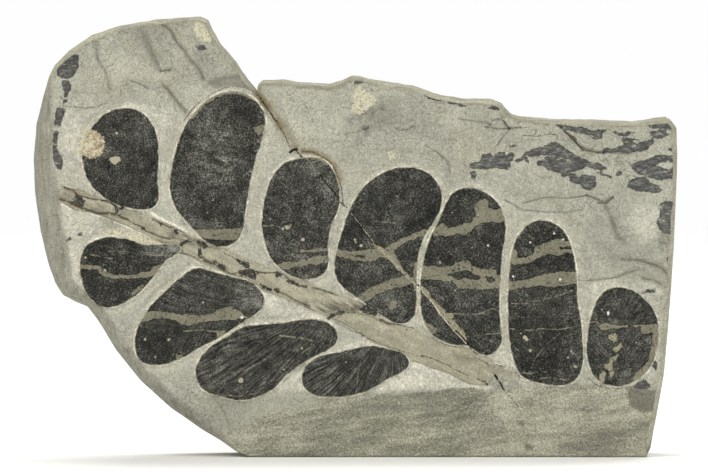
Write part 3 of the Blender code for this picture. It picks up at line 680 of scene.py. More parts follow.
# Thin brown lines of iron, and a few painted shadow lines: shake, pixels and width.
BROWN_AND_SHADOW_LINES = cracks([
    # Painted shadows along the top wall of the grooves above two upper leaflets.
    (0.12, [(184, 121), (190, 112), (198, 103)], 0.24),
    (0.1, [(198, 103), (211, 94), (221, 89), (232, 86), (244, 87), (254, 92)], 0.16),
    (0.15, [(303, 151), (314, 152), (322, 156), (331, 163), (338, 176), (342, 190), (343, 204)], 0.26),
    (0.15, [(588, 378), (598, 386), (615, 389), (634, 386), (648, 376)], 0.14),
    (0.05, [(497, 364), (504, 367)], 0.26),
    (0.1, [(512, 367), (517, 374), (523, 378)], 0.18),
    (0.05, [(487, 362), (490, 368)], 0.2),
    # Painted shadow: a dark streak under a lip of rock.
    (0.1, [(564, 131), (571, 136), (576, 143), (583, 150)], 0.4),
    (0.05, [(571, 136), (575, 139)], 0.7),
    (0.1, [(583, 150), (592, 151), (601, 153)], 0.2),
    (0.05, [(504, 121), (507, 126), (510, 129)], 0.36),
    (0.1, [(491, 119), (497, 118), (504, 120)], 0.16),
    (0.15, [(485, 126), (496, 128), (509, 129), (527, 127)], 0.14),
    (0.15, [(522, 135), (535, 136), (546, 134), (556, 134), (558, 139)], 0.14),
    (0.1, [(495, 146), (500, 140), (506, 135)], 0.12),
    (0.1, [(540, 121), (548, 125)], 0.2),
    (0.15, [(598, 202), (606, 203), (613, 197)], 0.28),
    (0.2, [(61, 96), (64, 104), (60, 108)], 0.14),
]) + STEM_LINES
# Soft lighter and darker places: x and y in pixels, radius in mm and how much lighter or darker.
TONE_SPOTS = [
    (252, 406, 3.0, 0.25), (188, 384, 4.0, -0.35), (450, 130, 4.0, -0.15), (140, 35, 6.0, -0.7),
    (132, 97, 3.5, -0.5), (510, 138, 4.0, -0.3), (176, 66, 5.0, -0.15), (90, 60, 4.0, -0.2),
    (640, 55, 4.0, -0.2), (84, 150, 4.0, 0.2), (585, 250, 9.0, -0.12), (630, 272, 6.0, -0.35),
    (475, 110, 6.0, -0.1), (400, 115, 6.0, -0.1), (600, 222, 4.0, -0.2), (540, 215, 5.0, 0.1),
    (595, 445, 9.0, -0.45), (540, 448, 6.0, -0.35), (640, 448, 6.0, -0.3), (160, 400, 6.0, 0.15),
    (200, 405, 4.0, -0.1), (660, 330, 4.0, -0.3), (665, 290, 4.0, -0.2), (560, 140, 4.0, -0.2),
    (245, 432, 3.0, 0.4), (282, 430, 4.0, 0.4), (312, 424, 3.0, 0.3), (345, 405, 4.0, -0.1),
    (385, 405, 5.0, -0.3), (430, 402, 5.0, -0.6), (470, 403, 5.0, -0.7), (390, 450, 8.0, -0.3),
    (330, 450, 6.0, -0.3), (275, 452, 4.0, -0.3), (450, 450, 5.0, -0.25), (410, 427, 5.0, 0.25),
    (562, 405, 2.0, 0.4), (576, 420, 2.0, 0.4), (530, 402, 4.0, -0.3), (600, 400, 5.0, -0.35),
    (650, 420, 3.0, -0.3), (298, 130, 1.8, 0.9), (240, 400, 6.0, -0.15), (663, 240, 2.2, -0.6),
    (206, 60, 3.0, -0.4), (114, 222, 2.6, -0.4), (333, 405, 4.0, -0.3), (455, 115, 2.4, 0.6),
    (365, 122, 3.5, -0.5), (388, 112, 3.0, -0.3), (560, 230, 5.0, 0.2), (125, 62, 4.0, 0.4),
    (120, 78, 4.0, 0.2), (180, 45, 2.5, 0.3), (192, 88, 2.6, 0.3),
]
# Slopes that face away from the light and look darker.
SHADED_SLOPES = [
    [(207, 81), (211, 77), (230, 75), (244, 73), (248, 82), (252, 90), (232, 86), (217, 89), (210, 87)],
    [(136, 26), (144, 28), (152, 44), (160, 62), (160, 71), (153, 66), (146, 50)],
]
# Where rock was scribed or rubbed to powder: its outline and how pale it is.
PALE_PATCHES = [
    ([(62, 204), (80, 208), (97, 214), (99, 224), (92, 233), (74, 237), (62, 232)], 0.5),
    ([(130, 222), (150, 234), (172, 240), (160, 244), (136, 236), (108, 238), (100, 232)], 0.6),
    ([(62, 248), (80, 243), (76, 262), (78, 290), (68, 286)], 0.8),
    ([(157, 128), (166, 124), (166, 200), (160, 205), (158, 170)], 0.1),
    ([(586, 300), (592, 284), (608, 279), (640, 280), (660, 292), (640, 287), (608, 286), (598, 296)], 0.6),
    ([(318, 354), (345, 342), (385, 341), (410, 352), (404, 350), (360, 344), (325, 350)], 1.0),
    ([(300, 386), (330, 397), (380, 391), (410, 364), (412, 374), (385, 399), (330, 405), (298, 396)], 0.8),
    ([(255, 289), (300, 306), (332, 319), (300, 316), (268, 312), (262, 300)], 0.8),
    ([(405, 347), (420, 362), (470, 380), (490, 388), (440, 390), (395, 388), (370, 392), (404, 374)], 1.3),
    ([(484, 356), (490, 352), (500, 352), (514, 358), (517, 368), (500, 364), (489, 362)], 0.9),
    ([(275, 387), (300, 373), (305, 392), (340, 399), (330, 405), (290, 402)], 0.7),
    ([(66, 108), (82, 120), (80, 160), (66, 172), (62, 140)], 0.5),
    ([(85, 112), (130, 104), (172, 110), (165, 128), (140, 108), (110, 108)], 0.5),
    ([(640, 202), (660, 212), (655, 236), (640, 240), (628, 220)], 0.5),
]
# The sawn foot has a darker part on the left, a paler one on the right, and dark spots.
DARK_FOOT = [
    (222, 462), (219, 442), (236, 428), (256, 419), (272, 412), (297, 408), (318, 403), (332, 399),
    (340, 397), (367, 393), (395, 395), (417, 392), (435, 392), (450, 387), (483, 388), (490, 398),
    (494, 404), (492, 415), (503, 421), (508, 436), (509, 462),
]
PALE_FOOT = [
    (488, 391), (530, 386), (555, 384), (600, 383), (630, 386), (662, 399), (656, 430), (650, 462),
    (509, 462), (508, 436), (503, 421), (492, 415),
]
FOOT_SPOTS = [
    [(627, 389), (640, 387), (655, 391), (662, 401), (661, 412), (640, 412), (629, 405)],
    [(524, 444), (530, 443), (533, 449), (526, 451)],
    [(518, 422), (524, 421), (525, 426), (519, 426)],
]
# Patches of cream crumbs.
CREAM_PATCHES = [
    [(94, 235), (98, 231), (110, 229), (122, 229), (136, 232), (148, 237), (160, 241), (156, 245), (144, 246),
     (138, 243), (130, 238), (118, 235), (104, 234)],
    [(193, 25), (198, 21), (208, 20), (215, 27), (215, 36), (208, 43), (198, 38)],
    [(355, 87), (360, 86), (364, 89), (372, 94), (376, 99), (374, 105), (367, 109), (359, 114), (352, 110)],
    [(387, 153), (391, 150), (394, 151), (393, 157), (389, 160)],
]
# The break that runs across the whole slab: shake, pixels and half width.
BREAK_LINES = cracks([
    (0.3, [(258, 94), (262, 100), (270, 112), (276, 121)], 0.14),
    (0.3, [(276, 121), (283, 132), (290, 146)], 0.08),
    (0.05, [(290, 152), (294, 149), (297, 149)], 0.28),
    (0.05, [(296, 150), (302, 157)], 0.14),
    (0.05, [(340, 202), (347, 207)], 0.12),
    (0.05, [(412, 278), (419, 286)], 0.16),
    (0.15, [(470, 347), (480, 357), (488, 365)], 0.1),
    (0.05, [(493, 372), (494, 374)], 0.14),
    (0.05, [(495, 375), (497, 378)], 0.22),
    (0.05, [(500, 382), (502, 386), (504, 390)], 0.16),
    (0.1, [(488, 366), (495, 376), (500, 383)], 0.05),
    (0.1, [(504, 390), (512, 399), (519, 407)], 0.04),
])
print(len(CREASES), "creases and", len(BREAK_LINES), "stretches of the break")

# %% [markdown]
# ## The lie of the rock
#
# Shale splits along its bedding, so the face is nearly flat. Four things shape it: the layer of cover rock
# that is left along the top, the groove around each leaflet, the creases, and the sloping saw cut above the
# foot. A sculpted mesh would do it too. Adding up simple height rules keeps each of them adjustable.

# %% Height rules for the face
# Where the cover rock begins, as (x, z) in mm, how wide its slope is, and how close its swells and ripples.
COVER_LINE = np.array([
    (-66, 72), (-52, 73), (-40, 73.5), (-33, 74), (-24, 76.5), (-17, 69), (-12, 62.5), (-5, 61.5), (4, 60.5),
    (12, 60.5), (24, 56.5), (32, 51.5), (40, 50), (48, 41), (54, 37), (60, 34.5), (66, 30),
])
COVER_RAMP = 3.0
SWELLS_PER_MM = 0.055
RIPPLES_PER_MM = 0.16
# How far from a leaflet's edge its groove is deepest, how wide it is and how deep, then what else is sunk.
GROOVE_CENTRE = 0.75
GROOVE_HALF_WIDTH = 0.62
GROOVE_DEPTH = 0.5
FILM_BED_DEPTH = 0.55
STEM_BED_DEPTH = 0.4
CREASE_SHARE = 0.9
BREAK_DEPTH = 1.8
FOOT_BEVEL_TOP_Z = 13.2
FOOT_FRONT_Y = -5.2
# The edge between the split face and the sawn foot is rounded over this much, in mm.
SAWN_EDGE = 0.25


def beds(points, size, seed):
    """Whole numbers with short ramps between them, where thin beds have flaked away one after another."""
    level = (rock_noise(points, size, seed) + 0.4 * rock_noise(points, 0.3 * size, seed + 1)) * 3.0
    whole = np.floor(level)
    return whole + smooth_step((level - whole) / 0.12)


def above_cover_line(points):
    """How many mm each point lies above the line where the cover rock begins."""
    return points[:, 1] - np.interp(points[:, 0], COVER_LINE[:, 0], COVER_LINE[:, 1])


def cover_height(points):
    """Height in mm of the cover rock above the fossil's bedding plane."""
    above = above_cover_line(points)
    swell = np.array([noise.noise(Vector((x, z, 3.0)) * SWELLS_PER_MM) for x, z in points])
    turned = [(x * 0.8 + z * 0.5, z * 0.35 - x * 0.5, 9.0) for x, z in points]
    ripple = np.array([noise.noise(Vector(place) * RIPPLES_PER_MM) for place in turned])
    flakes = 0.06 * beds(points * (1.0, 1.4), 11.0, 4)
    return smooth_step(above / COVER_RAMP) * (0.7 + 0.9 * swell + 0.35 * ripple + flakes)


def bedding_height(points):
    """The gentle unevenness of the bedding plane itself, which the leaflets share."""
    return 0.14 * rock_noise(points, 24.0, 1) + 0.05 * rock_noise(points, 6.0, 2)


def outside_leaves(points):
    """Distance in mm from each point to the nearest leaflet. It is negative on a leaflet."""
    return -np.max([depth_inside(points, loop) for loop in leaf_loops.values()], axis=0)


def foot_slope(z):
    """Depth of the saw cut that slopes back to the foot, at a height z."""
    return FOOT_FRONT_Y + (FOSSIL_Y - FOOT_FRONT_Y) * z / FOOT_BEVEL_TOP_Z


def face_depth(points):
    """y of the rock face at (x, z) points, in mm. A smaller y stands further forward."""
    gap = outside_leaves(points)
    on_stem = depth_inside(points, stem_loop)
    height = cover_height(points) + bedding_height(points)
    groove_room = 0.8 + 0.35 * rock_noise(points, 7.0, 5)
    height -= GROOVE_DEPTH * groove_room * bell(gap - GROOVE_CENTRE, GROOVE_HALF_WIDTH)
    height -= STEM_BED_DEPTH * smooth_step(on_stem / 0.6)
    for line, half_width, depth in CREASES:
        height -= CREASE_SHARE * depth * bell(line_distance(points, line), half_width)
    for line, half_width, depth in DIPS:
        height -= depth * bell(line_distance(points, line), half_width)
    for x, y, radius, rise in MOUNDS:
        height += rise * bell(from_pixel(points, x, y), radius)
    for line, half_width in BREAK_LINES:
        height -= BREAK_DEPTH * half_width * bell(line_distance(points, line), 0.8 * half_width)
    height += 0.03 * rock_noise(points, 2.4, 15) + 0.02 * rock_noise(points, 1.3, 6)
    height -= FILM_BED_DEPTH * smooth_step(-gap / 0.4)
    sawn = foot_slope(points[:, 1]) + 0.03 * rock_noise(points * (0.2, 1.0), 1.5, 8)
    rock = np.maximum(FOSSIL_Y - height, FRONT_Y)
    step = sawn - rock
    rounded = rock + (step + SAWN_EDGE) ** 2 / (4 * SAWN_EDGE)
    return np.where(step > SAWN_EDGE, sawn, np.where(step < -SAWN_EDGE, rock, rounded))


# %% [markdown]
# ## A mesh from points
#
# A flat sheet of any outline, with finer points where there is detail, is made by triangulation. A grid would
# have steps along every outline, and a subdivided n-gon has long thin faces. The points go in as columns of
# numbers, so that thousands are placed at once.

# %% Sheets and meshes
def hex_points(low, high, spacing):
    """Points of an even triangular pattern over a box."""
    rows = np.arange(low[1], high[1], spacing * math.sqrt(3.0) / 2.0)
    sheets = []
    for i, z in enumerate(rows):
        x = np.arange(low[0] + (i % 2) * spacing / 2.0, high[0], spacing)
        sheets.append(np.column_stack([x, np.full(len(x), z)]))
    return np.vstack(sheets)


def thinned(points, cell):
    """The points with no two in the same square of a grid. Earlier points are kept."""
    _, keep = np.unique(np.round(points / cell).astype(np.int64), axis=0, return_index=True)
    return points[np.sort(keep)]


def fill_sheet(loop, inner):
    """Triangles that fill a closed loop and pass through inner points. Indices count the loop first."""
    points = [Vector(point) for point in np.vstack([loop, inner])]
    border = [list(range(len(loop)))]
    result = geometry.delaunay_2d_cdt(points, [], border, 1, 1e-5)
    sources = [min(source) if source else -1 for source in result[3]]
    faces = [[sources[i] for i in face] for face in result[2]]
    return np.array([face for face in faces if -1 not in face and len(set(face)) == 3])


def wall_between(near, far, count):
    """Triangles that join two rings of points, given where each starts. The near ring is the front one."""
    here = np.arange(count)
    ahead = (here + 1) % count
    first = np.column_stack([near + here, far + here, far + ahead])
    second = np.column_stack([near + here, far + ahead, near + ahead])
    return np.vstack([first, second])


def make_piece(name, points, faces, marks, material):
    """A smooth mesh object from points in mm, with named values at its points for the material to read."""
    mesh = bpy.data.meshes.new(name)
    mesh.from_pydata((points * MM).tolist(), [], faces.tolist())
    for mark, values in marks.items():
        layer = mesh.attributes.new(mark, "FLOAT", "POINT")
        layer.data.foreach_set("value", np.asarray(values, np.float32))
    mesh.materials.append(material)
    mesh.shade_smooth()
    piece = bpy.data.objects.new(name, mesh)
    bpy.context.scene.collection.objects.link(piece)
    print(name, "has", len(faces), "triangles")
    return piece


# %% [markdown]
# ## Materials
#
# Each material below is a small tree of shader nodes. One function adds a node, sets its settings and joins
# its inputs. The colours are written as on a paint chart, in sRGB, and shaders count in linear light, so one
# function turns them. Noise is sized in millimetres too: its scale is the number of bumps in a metre.

# %% Node and colour helpers
def linear(colour):
    """A hex colour, such as #B4B2A0, as linear red, green, blue and alpha."""
    parts = [int(colour[i:i + 2], 16) / 255.0 for i in (1, 3, 5)]
    return (*[c / 12.92 if c <= 0.04045 else ((c + 0.055) / 1.055) ** 2.4 for c in parts], 1.0)


def bumps_of(size):
    """Noise scale for bumps of a size in mm."""
    return 1.0 / (size * MM)


def add(tree, kind, inputs=None, output=0, stops=(), **settings):
    """Adds a node and returns one of its outputs, or the node itself if it has none.

    Each input is a value, a hex colour or another node's output. Stops are the places and colours of a ramp.
    """
    node = tree.nodes.new("ShaderNode" + kind)
    for setting, value in settings.items():
        setattr(node, setting, value)
    for i, (place, colour) in enumerate(stops):
        stop = node.color_ramp.elements[i] if i < 2 else node.color_ramp.elements.new(place)
        stop.position = place
        stop.color = linear(colour)
    for socket, value in (inputs or {}).items():
        if isinstance(value, bpy.types.NodeSocket):
            tree.links.new(value, node.inputs[socket])
        else:
            node.inputs[socket].default_value = linear(value) if isinstance(value, str) else value
    return node.outputs[output] if node.outputs else node


def new_material(name):
    """An empty node tree with a Principled shader at its end."""
    material = bpy.data.materials.new(name)
    material.use_nodes = True
    tree = material.node_tree
    tree.nodes.clear()
    shader = add(tree, "BsdfPrincipled")
    add(tree, "OutputMaterial", {"Surface": shader})
    return material, tree, shader.node.inputs


# %% [markdown]
# A few steps come back in every material: make noise, cut a ragged edge through a distance, lay a colour over
# another, add up influences and scatter thin lines. Each takes several nodes, so each is written once.

# %% Steps that the materials share
# A Mix node has a socket of the same name for each kind of value, so its colour sockets go by number.
MIX_SHARE, MIX_BELOW, MIX_ABOVE, MIX_COLOUR = 0, 6, 7, 2


def marks_of(tree, *names):
    """The values that a mesh holds under these names."""
    return {name: add(tree, "Attribute", output="Fac", attribute_name=name) for name in names}


def grain(tree, size, detail=3.0, stretch=None, rough=0.55, seed=0.0, lean=0.0, low=0.0, high=1.0):
    """Noise with bumps of a size in mm. Its values from low to high are spread over 0 to 1.

    stretch squeezes it along each axis, lean turns it in degrees, and another seed is another pattern.
    """
    place = add(tree, "TexCoord", output="Object")
    if lean:
        place = add(tree, "Mapping", {"Vector": place, "Rotation": (0.0, math.radians(lean), 0.0)})
    if stretch:
        place = add(tree, "Mapping", {"Vector": place, "Scale": stretch})
    inputs = {"Vector": place, "W": seed, "Scale": bumps_of(size), "Detail": detail, "Roughness": rough}
    value = add(tree, "TexNoise", inputs, noise_dimensions="4D")
    if (low, high) == (0.0, 1.0):
        return value
    return add(tree, "MapRange", {"Value": value, "From Min": low, "From Max": high})


def ragged(tree, mark, size, wander, edge=0.06, seed=0.0, beyond=0.0):
    """1 inside a marked shape and 0 outside it. Its edge wanders by some mm and can lie some mm beyond."""
    distance = add(tree, "Attribute", output="Fac", attribute_name=mark)
    wave = grain(tree, size, 5.0, rough=0.65, seed=seed, low=0.3, high=0.7)
    moved = add(tree, "Math", {0: wave, 1: 2.0 * wander, 2: distance}, operation="MULTIPLY_ADD")
    middle = wander - beyond
    return add(tree, "MapRange", {"Value": moved, "From Min": middle - edge, "From Max": middle + edge})


def lay(tree, below, colour, *shares):
    """Lays a colour over another. How much of it shows is the product of the shares, each from 0 to 1."""
    amount = shares[0]
    for share in shares[1:]:
        amount = add(tree, "Math", {0: amount, 1: share}, operation="MULTIPLY")
    inputs = {MIX_SHARE: amount, MIX_BELOW: below, MIX_ABOVE: colour}
    return add(tree, "Mix", inputs, output=MIX_COLOUR, data_type="RGBA")


def total(tree, start, *parts):
    """Adds parts to a start. Each part is a value and how much of it counts."""
    for value, share in parts:
        start = add(tree, "Math", {0: value, 1: share, 2: start}, operation="MULTIPLY_ADD")
    return start


def speckled(tree, colour, value, low, high):
    """A colour made darker or lighter by noise, between low and high times as bright."""
    spread = {"Value": value, "From Min": 0.3, "From Max": 0.7, "To Min": low, "To Max": high}
    inputs = {MIX_SHARE: 1.0, MIX_BELOW: colour, MIX_ABOVE: add(tree, "MapRange", spread)}
    return add(tree, "Mix", inputs, output=MIX_COLOUR, data_type="RGBA", blend_type="MULTIPLY")


def hair_lines(tree, size, seed, width, least=0.5):
    """Thin wandering lines: 1 on a line and 0 off it. They break off where a second noise is low."""
    wander = grain(tree, size, 4.0, seed=seed)
    line = add(tree, "Math", {0: wander, 1: 0.5, 2: width}, operation="COMPARE")
    whole = grain(tree, 2.5, 2.0, seed=seed + 1.0, low=least, high=least + 0.1)
    return add(tree, "Math", {0: line, 1: whole}, operation="MULTIPLY")


# %% [markdown]
# ### Shale
#
# Shale is mud turned to stone: clay and silt grains under a tenth of a millimetre, which give a dull, even
# surface with no gloss. A real grain would be too fine to see here, so the finest noise is drawn at a quarter
# of a millimetre. The rock split along thin beds, and where one bed gives way to the next there is a crisp
# little step, with painted shade along its foot. Freshly scribed rock is paler because it is bruised to
# powder.
# The split sides show the edges of the beds, and the coal scraps lie in the rock as dark grey films.

# %% Shale material
SHALE_ROUGHNESS = 0.92
SHALE_IOR = 1.5
COAL_ROUGHNESS = 0.5
GRAIN_SIZE = 0.24
LAYER_SPACING = 0.7
SHALE_TONES = [(0.2, "#838275"), (0.5, "#A3A293"), (0.85, "#B5B3A2")]
POWDER_TONES = [(0.35, "#AEACA0"), (0.65, "#C9C6B5")]
LAYER_TONES = [(0.34, "#7E7B69"), (0.5, "#979482"), (0.66, "#AAA794")]
GROUND_TONES = [(0.32, "#79776A"), (0.5, "#89877A"), (0.68, "#9A988A")]
DARK_FOOT_TONES = [(0.1, "#66655A"), (0.5, "#92917F"), (0.9, "#BFBDAA")]
PALE_FOOT_TONES = [(0.1, "#737165"), (0.5, "#A2A08D"), (0.9, "#C3C1AD")]
RIM_POWDER_AND_HIGHLIGHT_TONES = [(0.35, "#CBC6B1"), (0.65, "#E4E1D3")]
CREAM_TONES = [(0.36, "#8F8A77"), (0.48, "#BBB59C"), (0.62, "#D0CAB3")]
SCRAP_TONES = [(0.34, "#1E1E1C"), (0.5, "#40403D"), (0.66, "#7E7D76")]
WORN_SCRAP_TONES = [(0.36, "#2A2A28"), (0.5, "#52534F"), (0.64, "#85867F")]
SCRAP_EDGE_TONES = [(0.4, "#1C1C18"), (0.66, "#55544B")]


def thin_beds(tree):
    """Painted shade lines at the feet of the thin beds that end on the split face, and their steps."""
    bed = grain(tree, 9.0, 4.0, seed=17.0, rough=0.55)
    feet = 0.0
    steps = 0.0
    for level in (0.42, 0.47, 0.52, 0.57, 0.62):
        foot = add(tree, "Math", {0: bed, 1: level, 2: 0.003}, operation="COMPARE")
        step = add(tree, "MapRange", {"Value": bed, "From Min": level, "From Max": level + 0.006})
        feet = total(tree, feet, (foot, 1.0))
        steps = total(tree, steps, (step, 1.0))
    return feet, steps


def with_sawn_foot(tree, face, tone):
    """Lays the sawn foot over the face: two tones of rock with the saw's fine lines and long sweeps."""
    saw = grain(tree, 0.3, 2.0, stretch=(0.8, 0.8, 1.0), seed=6.0, rough=0.8)
    swept = grain(tree, 4.0, 4.0, stretch=(0.35, 1.0, 1.0), seed=7.0, lean=12.0)
    sweeps = grain(tree, 1.6, 4.0, stretch=(0.18, 1.0, 1.0), seed=27.0, lean=8.0, rough=0.65)
    sawn = total(tree, -1.41, (saw, 1.9), (swept, 0.9), (sweeps, 1.1), (tone, 0.35))
    dark_foot = add(tree, "ValToRGB", {"Fac": sawn}, stops=DARK_FOOT_TONES)
    face = lay(tree, face, dark_foot, ragged(tree, "dark_foot", 1.6, 0.3))
    pale_foot = add(tree, "ValToRGB", {"Fac": sawn}, stops=PALE_FOOT_TONES)
    face = lay(tree, face, pale_foot, ragged(tree, "pale_foot", 2.2, 0.5, 0.3))
    return lay(tree, face, "#605E52", ragged(tree, "foot_spot", 1.0, 0.4, 0.2), 0.75)


def with_coal_scraps(tree, face, worn):
    """Lays the coal scraps over the face, greyer where they are worn. Also gives where they lie."""
    coal = ragged(tree, "coal", 0.8, 0.22, 0.05)
    holes = grain(tree, 0.7, 5.0, seed=9.0, stretch=(0.35, 1.0, 1.0), rough=0.7, low=0.37, high=0.44)
    coal = add(tree, "Math", {0: coal, 1: holes}, operation="MULTIPLY")
    coal_grain = grain(tree, 0.5, 5.0, seed=11.0, rough=0.75, stretch=(0.35, 1.0, 1.0))
    tone = add(tree, "ValToRGB", {"Fac": coal_grain}, stops=SCRAP_TONES)
    depth = add(tree, "Attribute", output="Fac", attribute_name="coal")
    at_edge = add(tree, "MapRange", {"Value": depth, "From Min": 0.5, "From Max": 0.1})
    worn_tone = add(tree, "ValToRGB", {"Fac": coal_grain}, stops=WORN_SCRAP_TONES)
    tone = lay(tree, tone, worn_tone, worn, grain(tree, 1.2, 4.0, seed=28.0, low=0.35, high=0.6))
    edge_tone = add(tree, "ValToRGB", {"Fac": coal_grain}, stops=SCRAP_EDGE_TONES)
    tone = lay(tree, tone, edge_tone, at_edge, 0.7)
    return lay(tree, face, tone, coal), coal


def shale_material():
    material, tree, shader = new_material("shale")
    read = marks_of(
        tree, "tone", "pale", "cover", "crease", "shaded", "stain", "broken", "ground", "smudge", "worn",
    )
    fine = grain(tree, GRAIN_SIZE, 2.0, rough=0.7)
    silt = grain(tree, 0.6, 3.0, seed=2.0)
    smears = grain(tree, 3.0, 5.0, seed=3.0, rough=0.62)
    broad = grain(tree, 14.0, 3.0, seed=5.0)
    tone = total(tree, -0.2, (smears, 0.45), (broad, 0.55), (read["tone"], 0.3), (silt, 0.3))
    face = add(tree, "ValToRGB", {"Fac": tone}, stops=SHALE_TONES)
    face = lay(tree, face, "#A49F88", grain(tree, 9.0, 4.0, seed=8.0, low=0.5, high=0.75), 0.4)
    bed_foot_shade, bed_steps = thin_beds(tree)
    patchy = grain(tree, 5.0, 2.0, seed=18.0, low=0.45, high=0.6)
    # Painted shade: a dark line at the foot of each thin bed's step on the cover rock.
    face = lay(tree, face, "#6B6858", bed_foot_shade, patchy, read["cover"], 0.45)

    strokes = grain(tree, 0.7, 3.0, stretch=(1.0, 1.0, 0.25), seed=13.0, lean=35.0)
    powder = add(tree, "ValToRGB", {"Fac": strokes}, stops=POWDER_TONES)
    face = lay(tree, face, powder, read["pale"])
    face = lay(tree, face, "#D8D5C4", read["pale"], grain(tree, 0.9, 4.0, seed=2.5, low=0.5, high=0.64), 0.75)
    hairlines = hair_lines(tree, 6.0, 20.0, 0.004, 0.54)
    scratches = hair_lines(tree, 2.2, 26.0, 0.006, 0.6)
    face = lay(tree, face, "#6A6757", hairlines, 0.6)
    face = lay(tree, face, "#65625A", scratches, read["cover"], 0.5)
    face = lay(tree, face, "#63615A", grain(tree, 0.7, 3.0, seed=21.0, low=0.66, high=0.7), 0.5)
    face = lay(tree, face, "#D5D3C6", grain(tree, 0.55, 3.0, seed=22.0, low=0.68, high=0.72), 0.5)

    layers = grain(tree, LAYER_SPACING, 4.0, stretch=(0.09, 1.0, 0.09), seed=3.0)
    edges = add(tree, "ValToRGB", {"Fac": layers}, stops=LAYER_TONES)
    face = lay(tree, face, edges, read["broken"])
    streaks = grain(tree, 0.9, 4.0, stretch=(1.0, 1.0, 0.14), seed=4.0)
    ground = add(tree, "ValToRGB", {"Fac": streaks}, stops=GROUND_TONES)
    face = lay(tree, face, ground, read["ground"])
    face = with_sawn_foot(tree, face, read["tone"])

    face = lay(tree, face, "#7D7052", read["stain"])
    # Painted shade: a darker band along each crease, and at the foot of each bed step on the back.
    face = lay(tree, face, "#686658", read["crease"])
    # Painted shadow: a thin dark line in each crease, broken up by noise.
    step_left = grain(tree, 1.6, 4.0, seed=25.0, low=0.42, high=0.58)
    face = lay(tree, face, "#4C493C", ragged(tree, "crease_shadow_line", 0.8, 0.1, 0.06, seed=12.0), step_left, 0.65)
    face = lay(tree, face, "#77756A", read["shaded"])
    scribble = grain(tree, 0.8, 5.0, seed=23.0, rough=0.7, low=0.47, high=0.62)
    face = lay(tree, face, "#56564E", read["smudge"], scribble)
    # Pale powder with a painted highlight: a bright rim beside each film and on the scribed ridges, shown
    # only in patches.
    rim_powder_and_highlight = add(tree, "ValToRGB", {"Fac": silt}, stops=RIM_POWDER_AND_HIGHLIGHT_TONES)
    rim_left = grain(tree, 2.4, 4.0, seed=24.0, low=0.4, high=0.52)
    face = lay(tree, face, rim_powder_and_highlight, ragged(tree, "rim", 0.9, 0.14, 0.06, seed=3.0), rim_left, 0.9)
    # Brown lines of iron, and some painted shadow lines under lips and along groove tops.
    brown = ragged(tree, "brown_and_shadow_line", 0.5, 0.08, 0.05, seed=6.0)
    whole = grain(tree, 0.8, 4.0, seed=2.5, low=0.34, high=0.44)
    face = lay(tree, face, "#463E30", brown, whole, 0.9)
    face = speckled(tree, face, fine, 0.6, 1.4)
    face = speckled(tree, face, silt, 0.92, 1.08)

    crumb_holes = grain(tree, 0.4, 4.0, seed=7.0)
    cream = add(tree, "ValToRGB", {"Fac": crumb_holes}, stops=CREAM_TONES)
    face = lay(tree, face, cream, ragged(tree, "cream", 0.6, 0.5, 0.12, seed=1.0), 0.85)
    face, coal = with_coal_scraps(tree, face, read["worn"])
    face = lay(tree, face, "#241F17", ragged(tree, "split", 0.6, 0.1, 0.05, seed=9.0))

    side_relief = add(tree, "Math", {0: layers, 1: read["broken"]}, operation="MULTIPLY")
    relief = total(
        tree, 0.0, (fine, 1.0), (silt, 1.2), (bed_steps, 1.6), (hairlines, -1.5), (scratches, -1.0),
        (coal, 0.8), (side_relief, 6.0),
    )
    bump = add(tree, "Bump", {"Height": relief, "Strength": 1.0, "Distance": 0.08 * MM})
    gloss = {"Value": coal, "To Min": SHALE_ROUGHNESS, "To Max": COAL_ROUGHNESS}
    tree.links.new(face, shader["Base Color"])
    tree.links.new(add(tree, "MapRange", gloss), shader["Roughness"])
    tree.links.new(bump, shader["Normal"])
    shader["IOR"].default_value = SHALE_IOR
    return material


shale = shale_material()
print("the shale has", len(shale.node_tree.nodes), "nodes")

# %% [markdown]
# ### Coal film
#
# The leaf itself, pressed and baked to coal: almost black, with a faint satin shine where the film is whole,
# greyer where it is thin. The fine arching veins that name this fern are still in it. Real veins stand about
# a quarter of a millimetre apart, too fine for the picture, so they are drawn half a millimetre apart. Where
# the film has flaked off, the bare shale below is brown and dull.

# %% Coal film material
COAL_IOR = 1.6
# Half would be a polished surface. Pores too small to draw scatter most of the film's shine.
FILM_SHINE = 0.08
# The fibres between the veins are this long, in mm, and change this much from one vein to the next.
FIBRE_SIZE = 5.0
FIBRE_CHANGE = 1.7
FILM_TONES = [(0.0, "#12120F"), (0.3, "#20201C"), (0.5, "#343430"), (0.75, "#56564F"), (1.0, "#83827A")]
BARE_ROCK_TONES = [(0.3, "#4E4B3F"), (0.5, "#727060"), (0.7, "#969281")]
FLAKED_TONES = [(0.35, "#5E5A49"), (0.5, "#89846F"), (0.65, "#B1AC97")]
CRACK_TONES = [(0.3, "#65624F"), (0.7, "#9B9784")]
RUST_TONES = [(0.36, "#7A6E57"), (0.5, "#A89B81"), (0.62, "#C6BDA5")]
CUSHION_TONES = [(0.3, "#7C7766"), (0.5, "#AEA893"), (0.7, "#CFC9B4")]


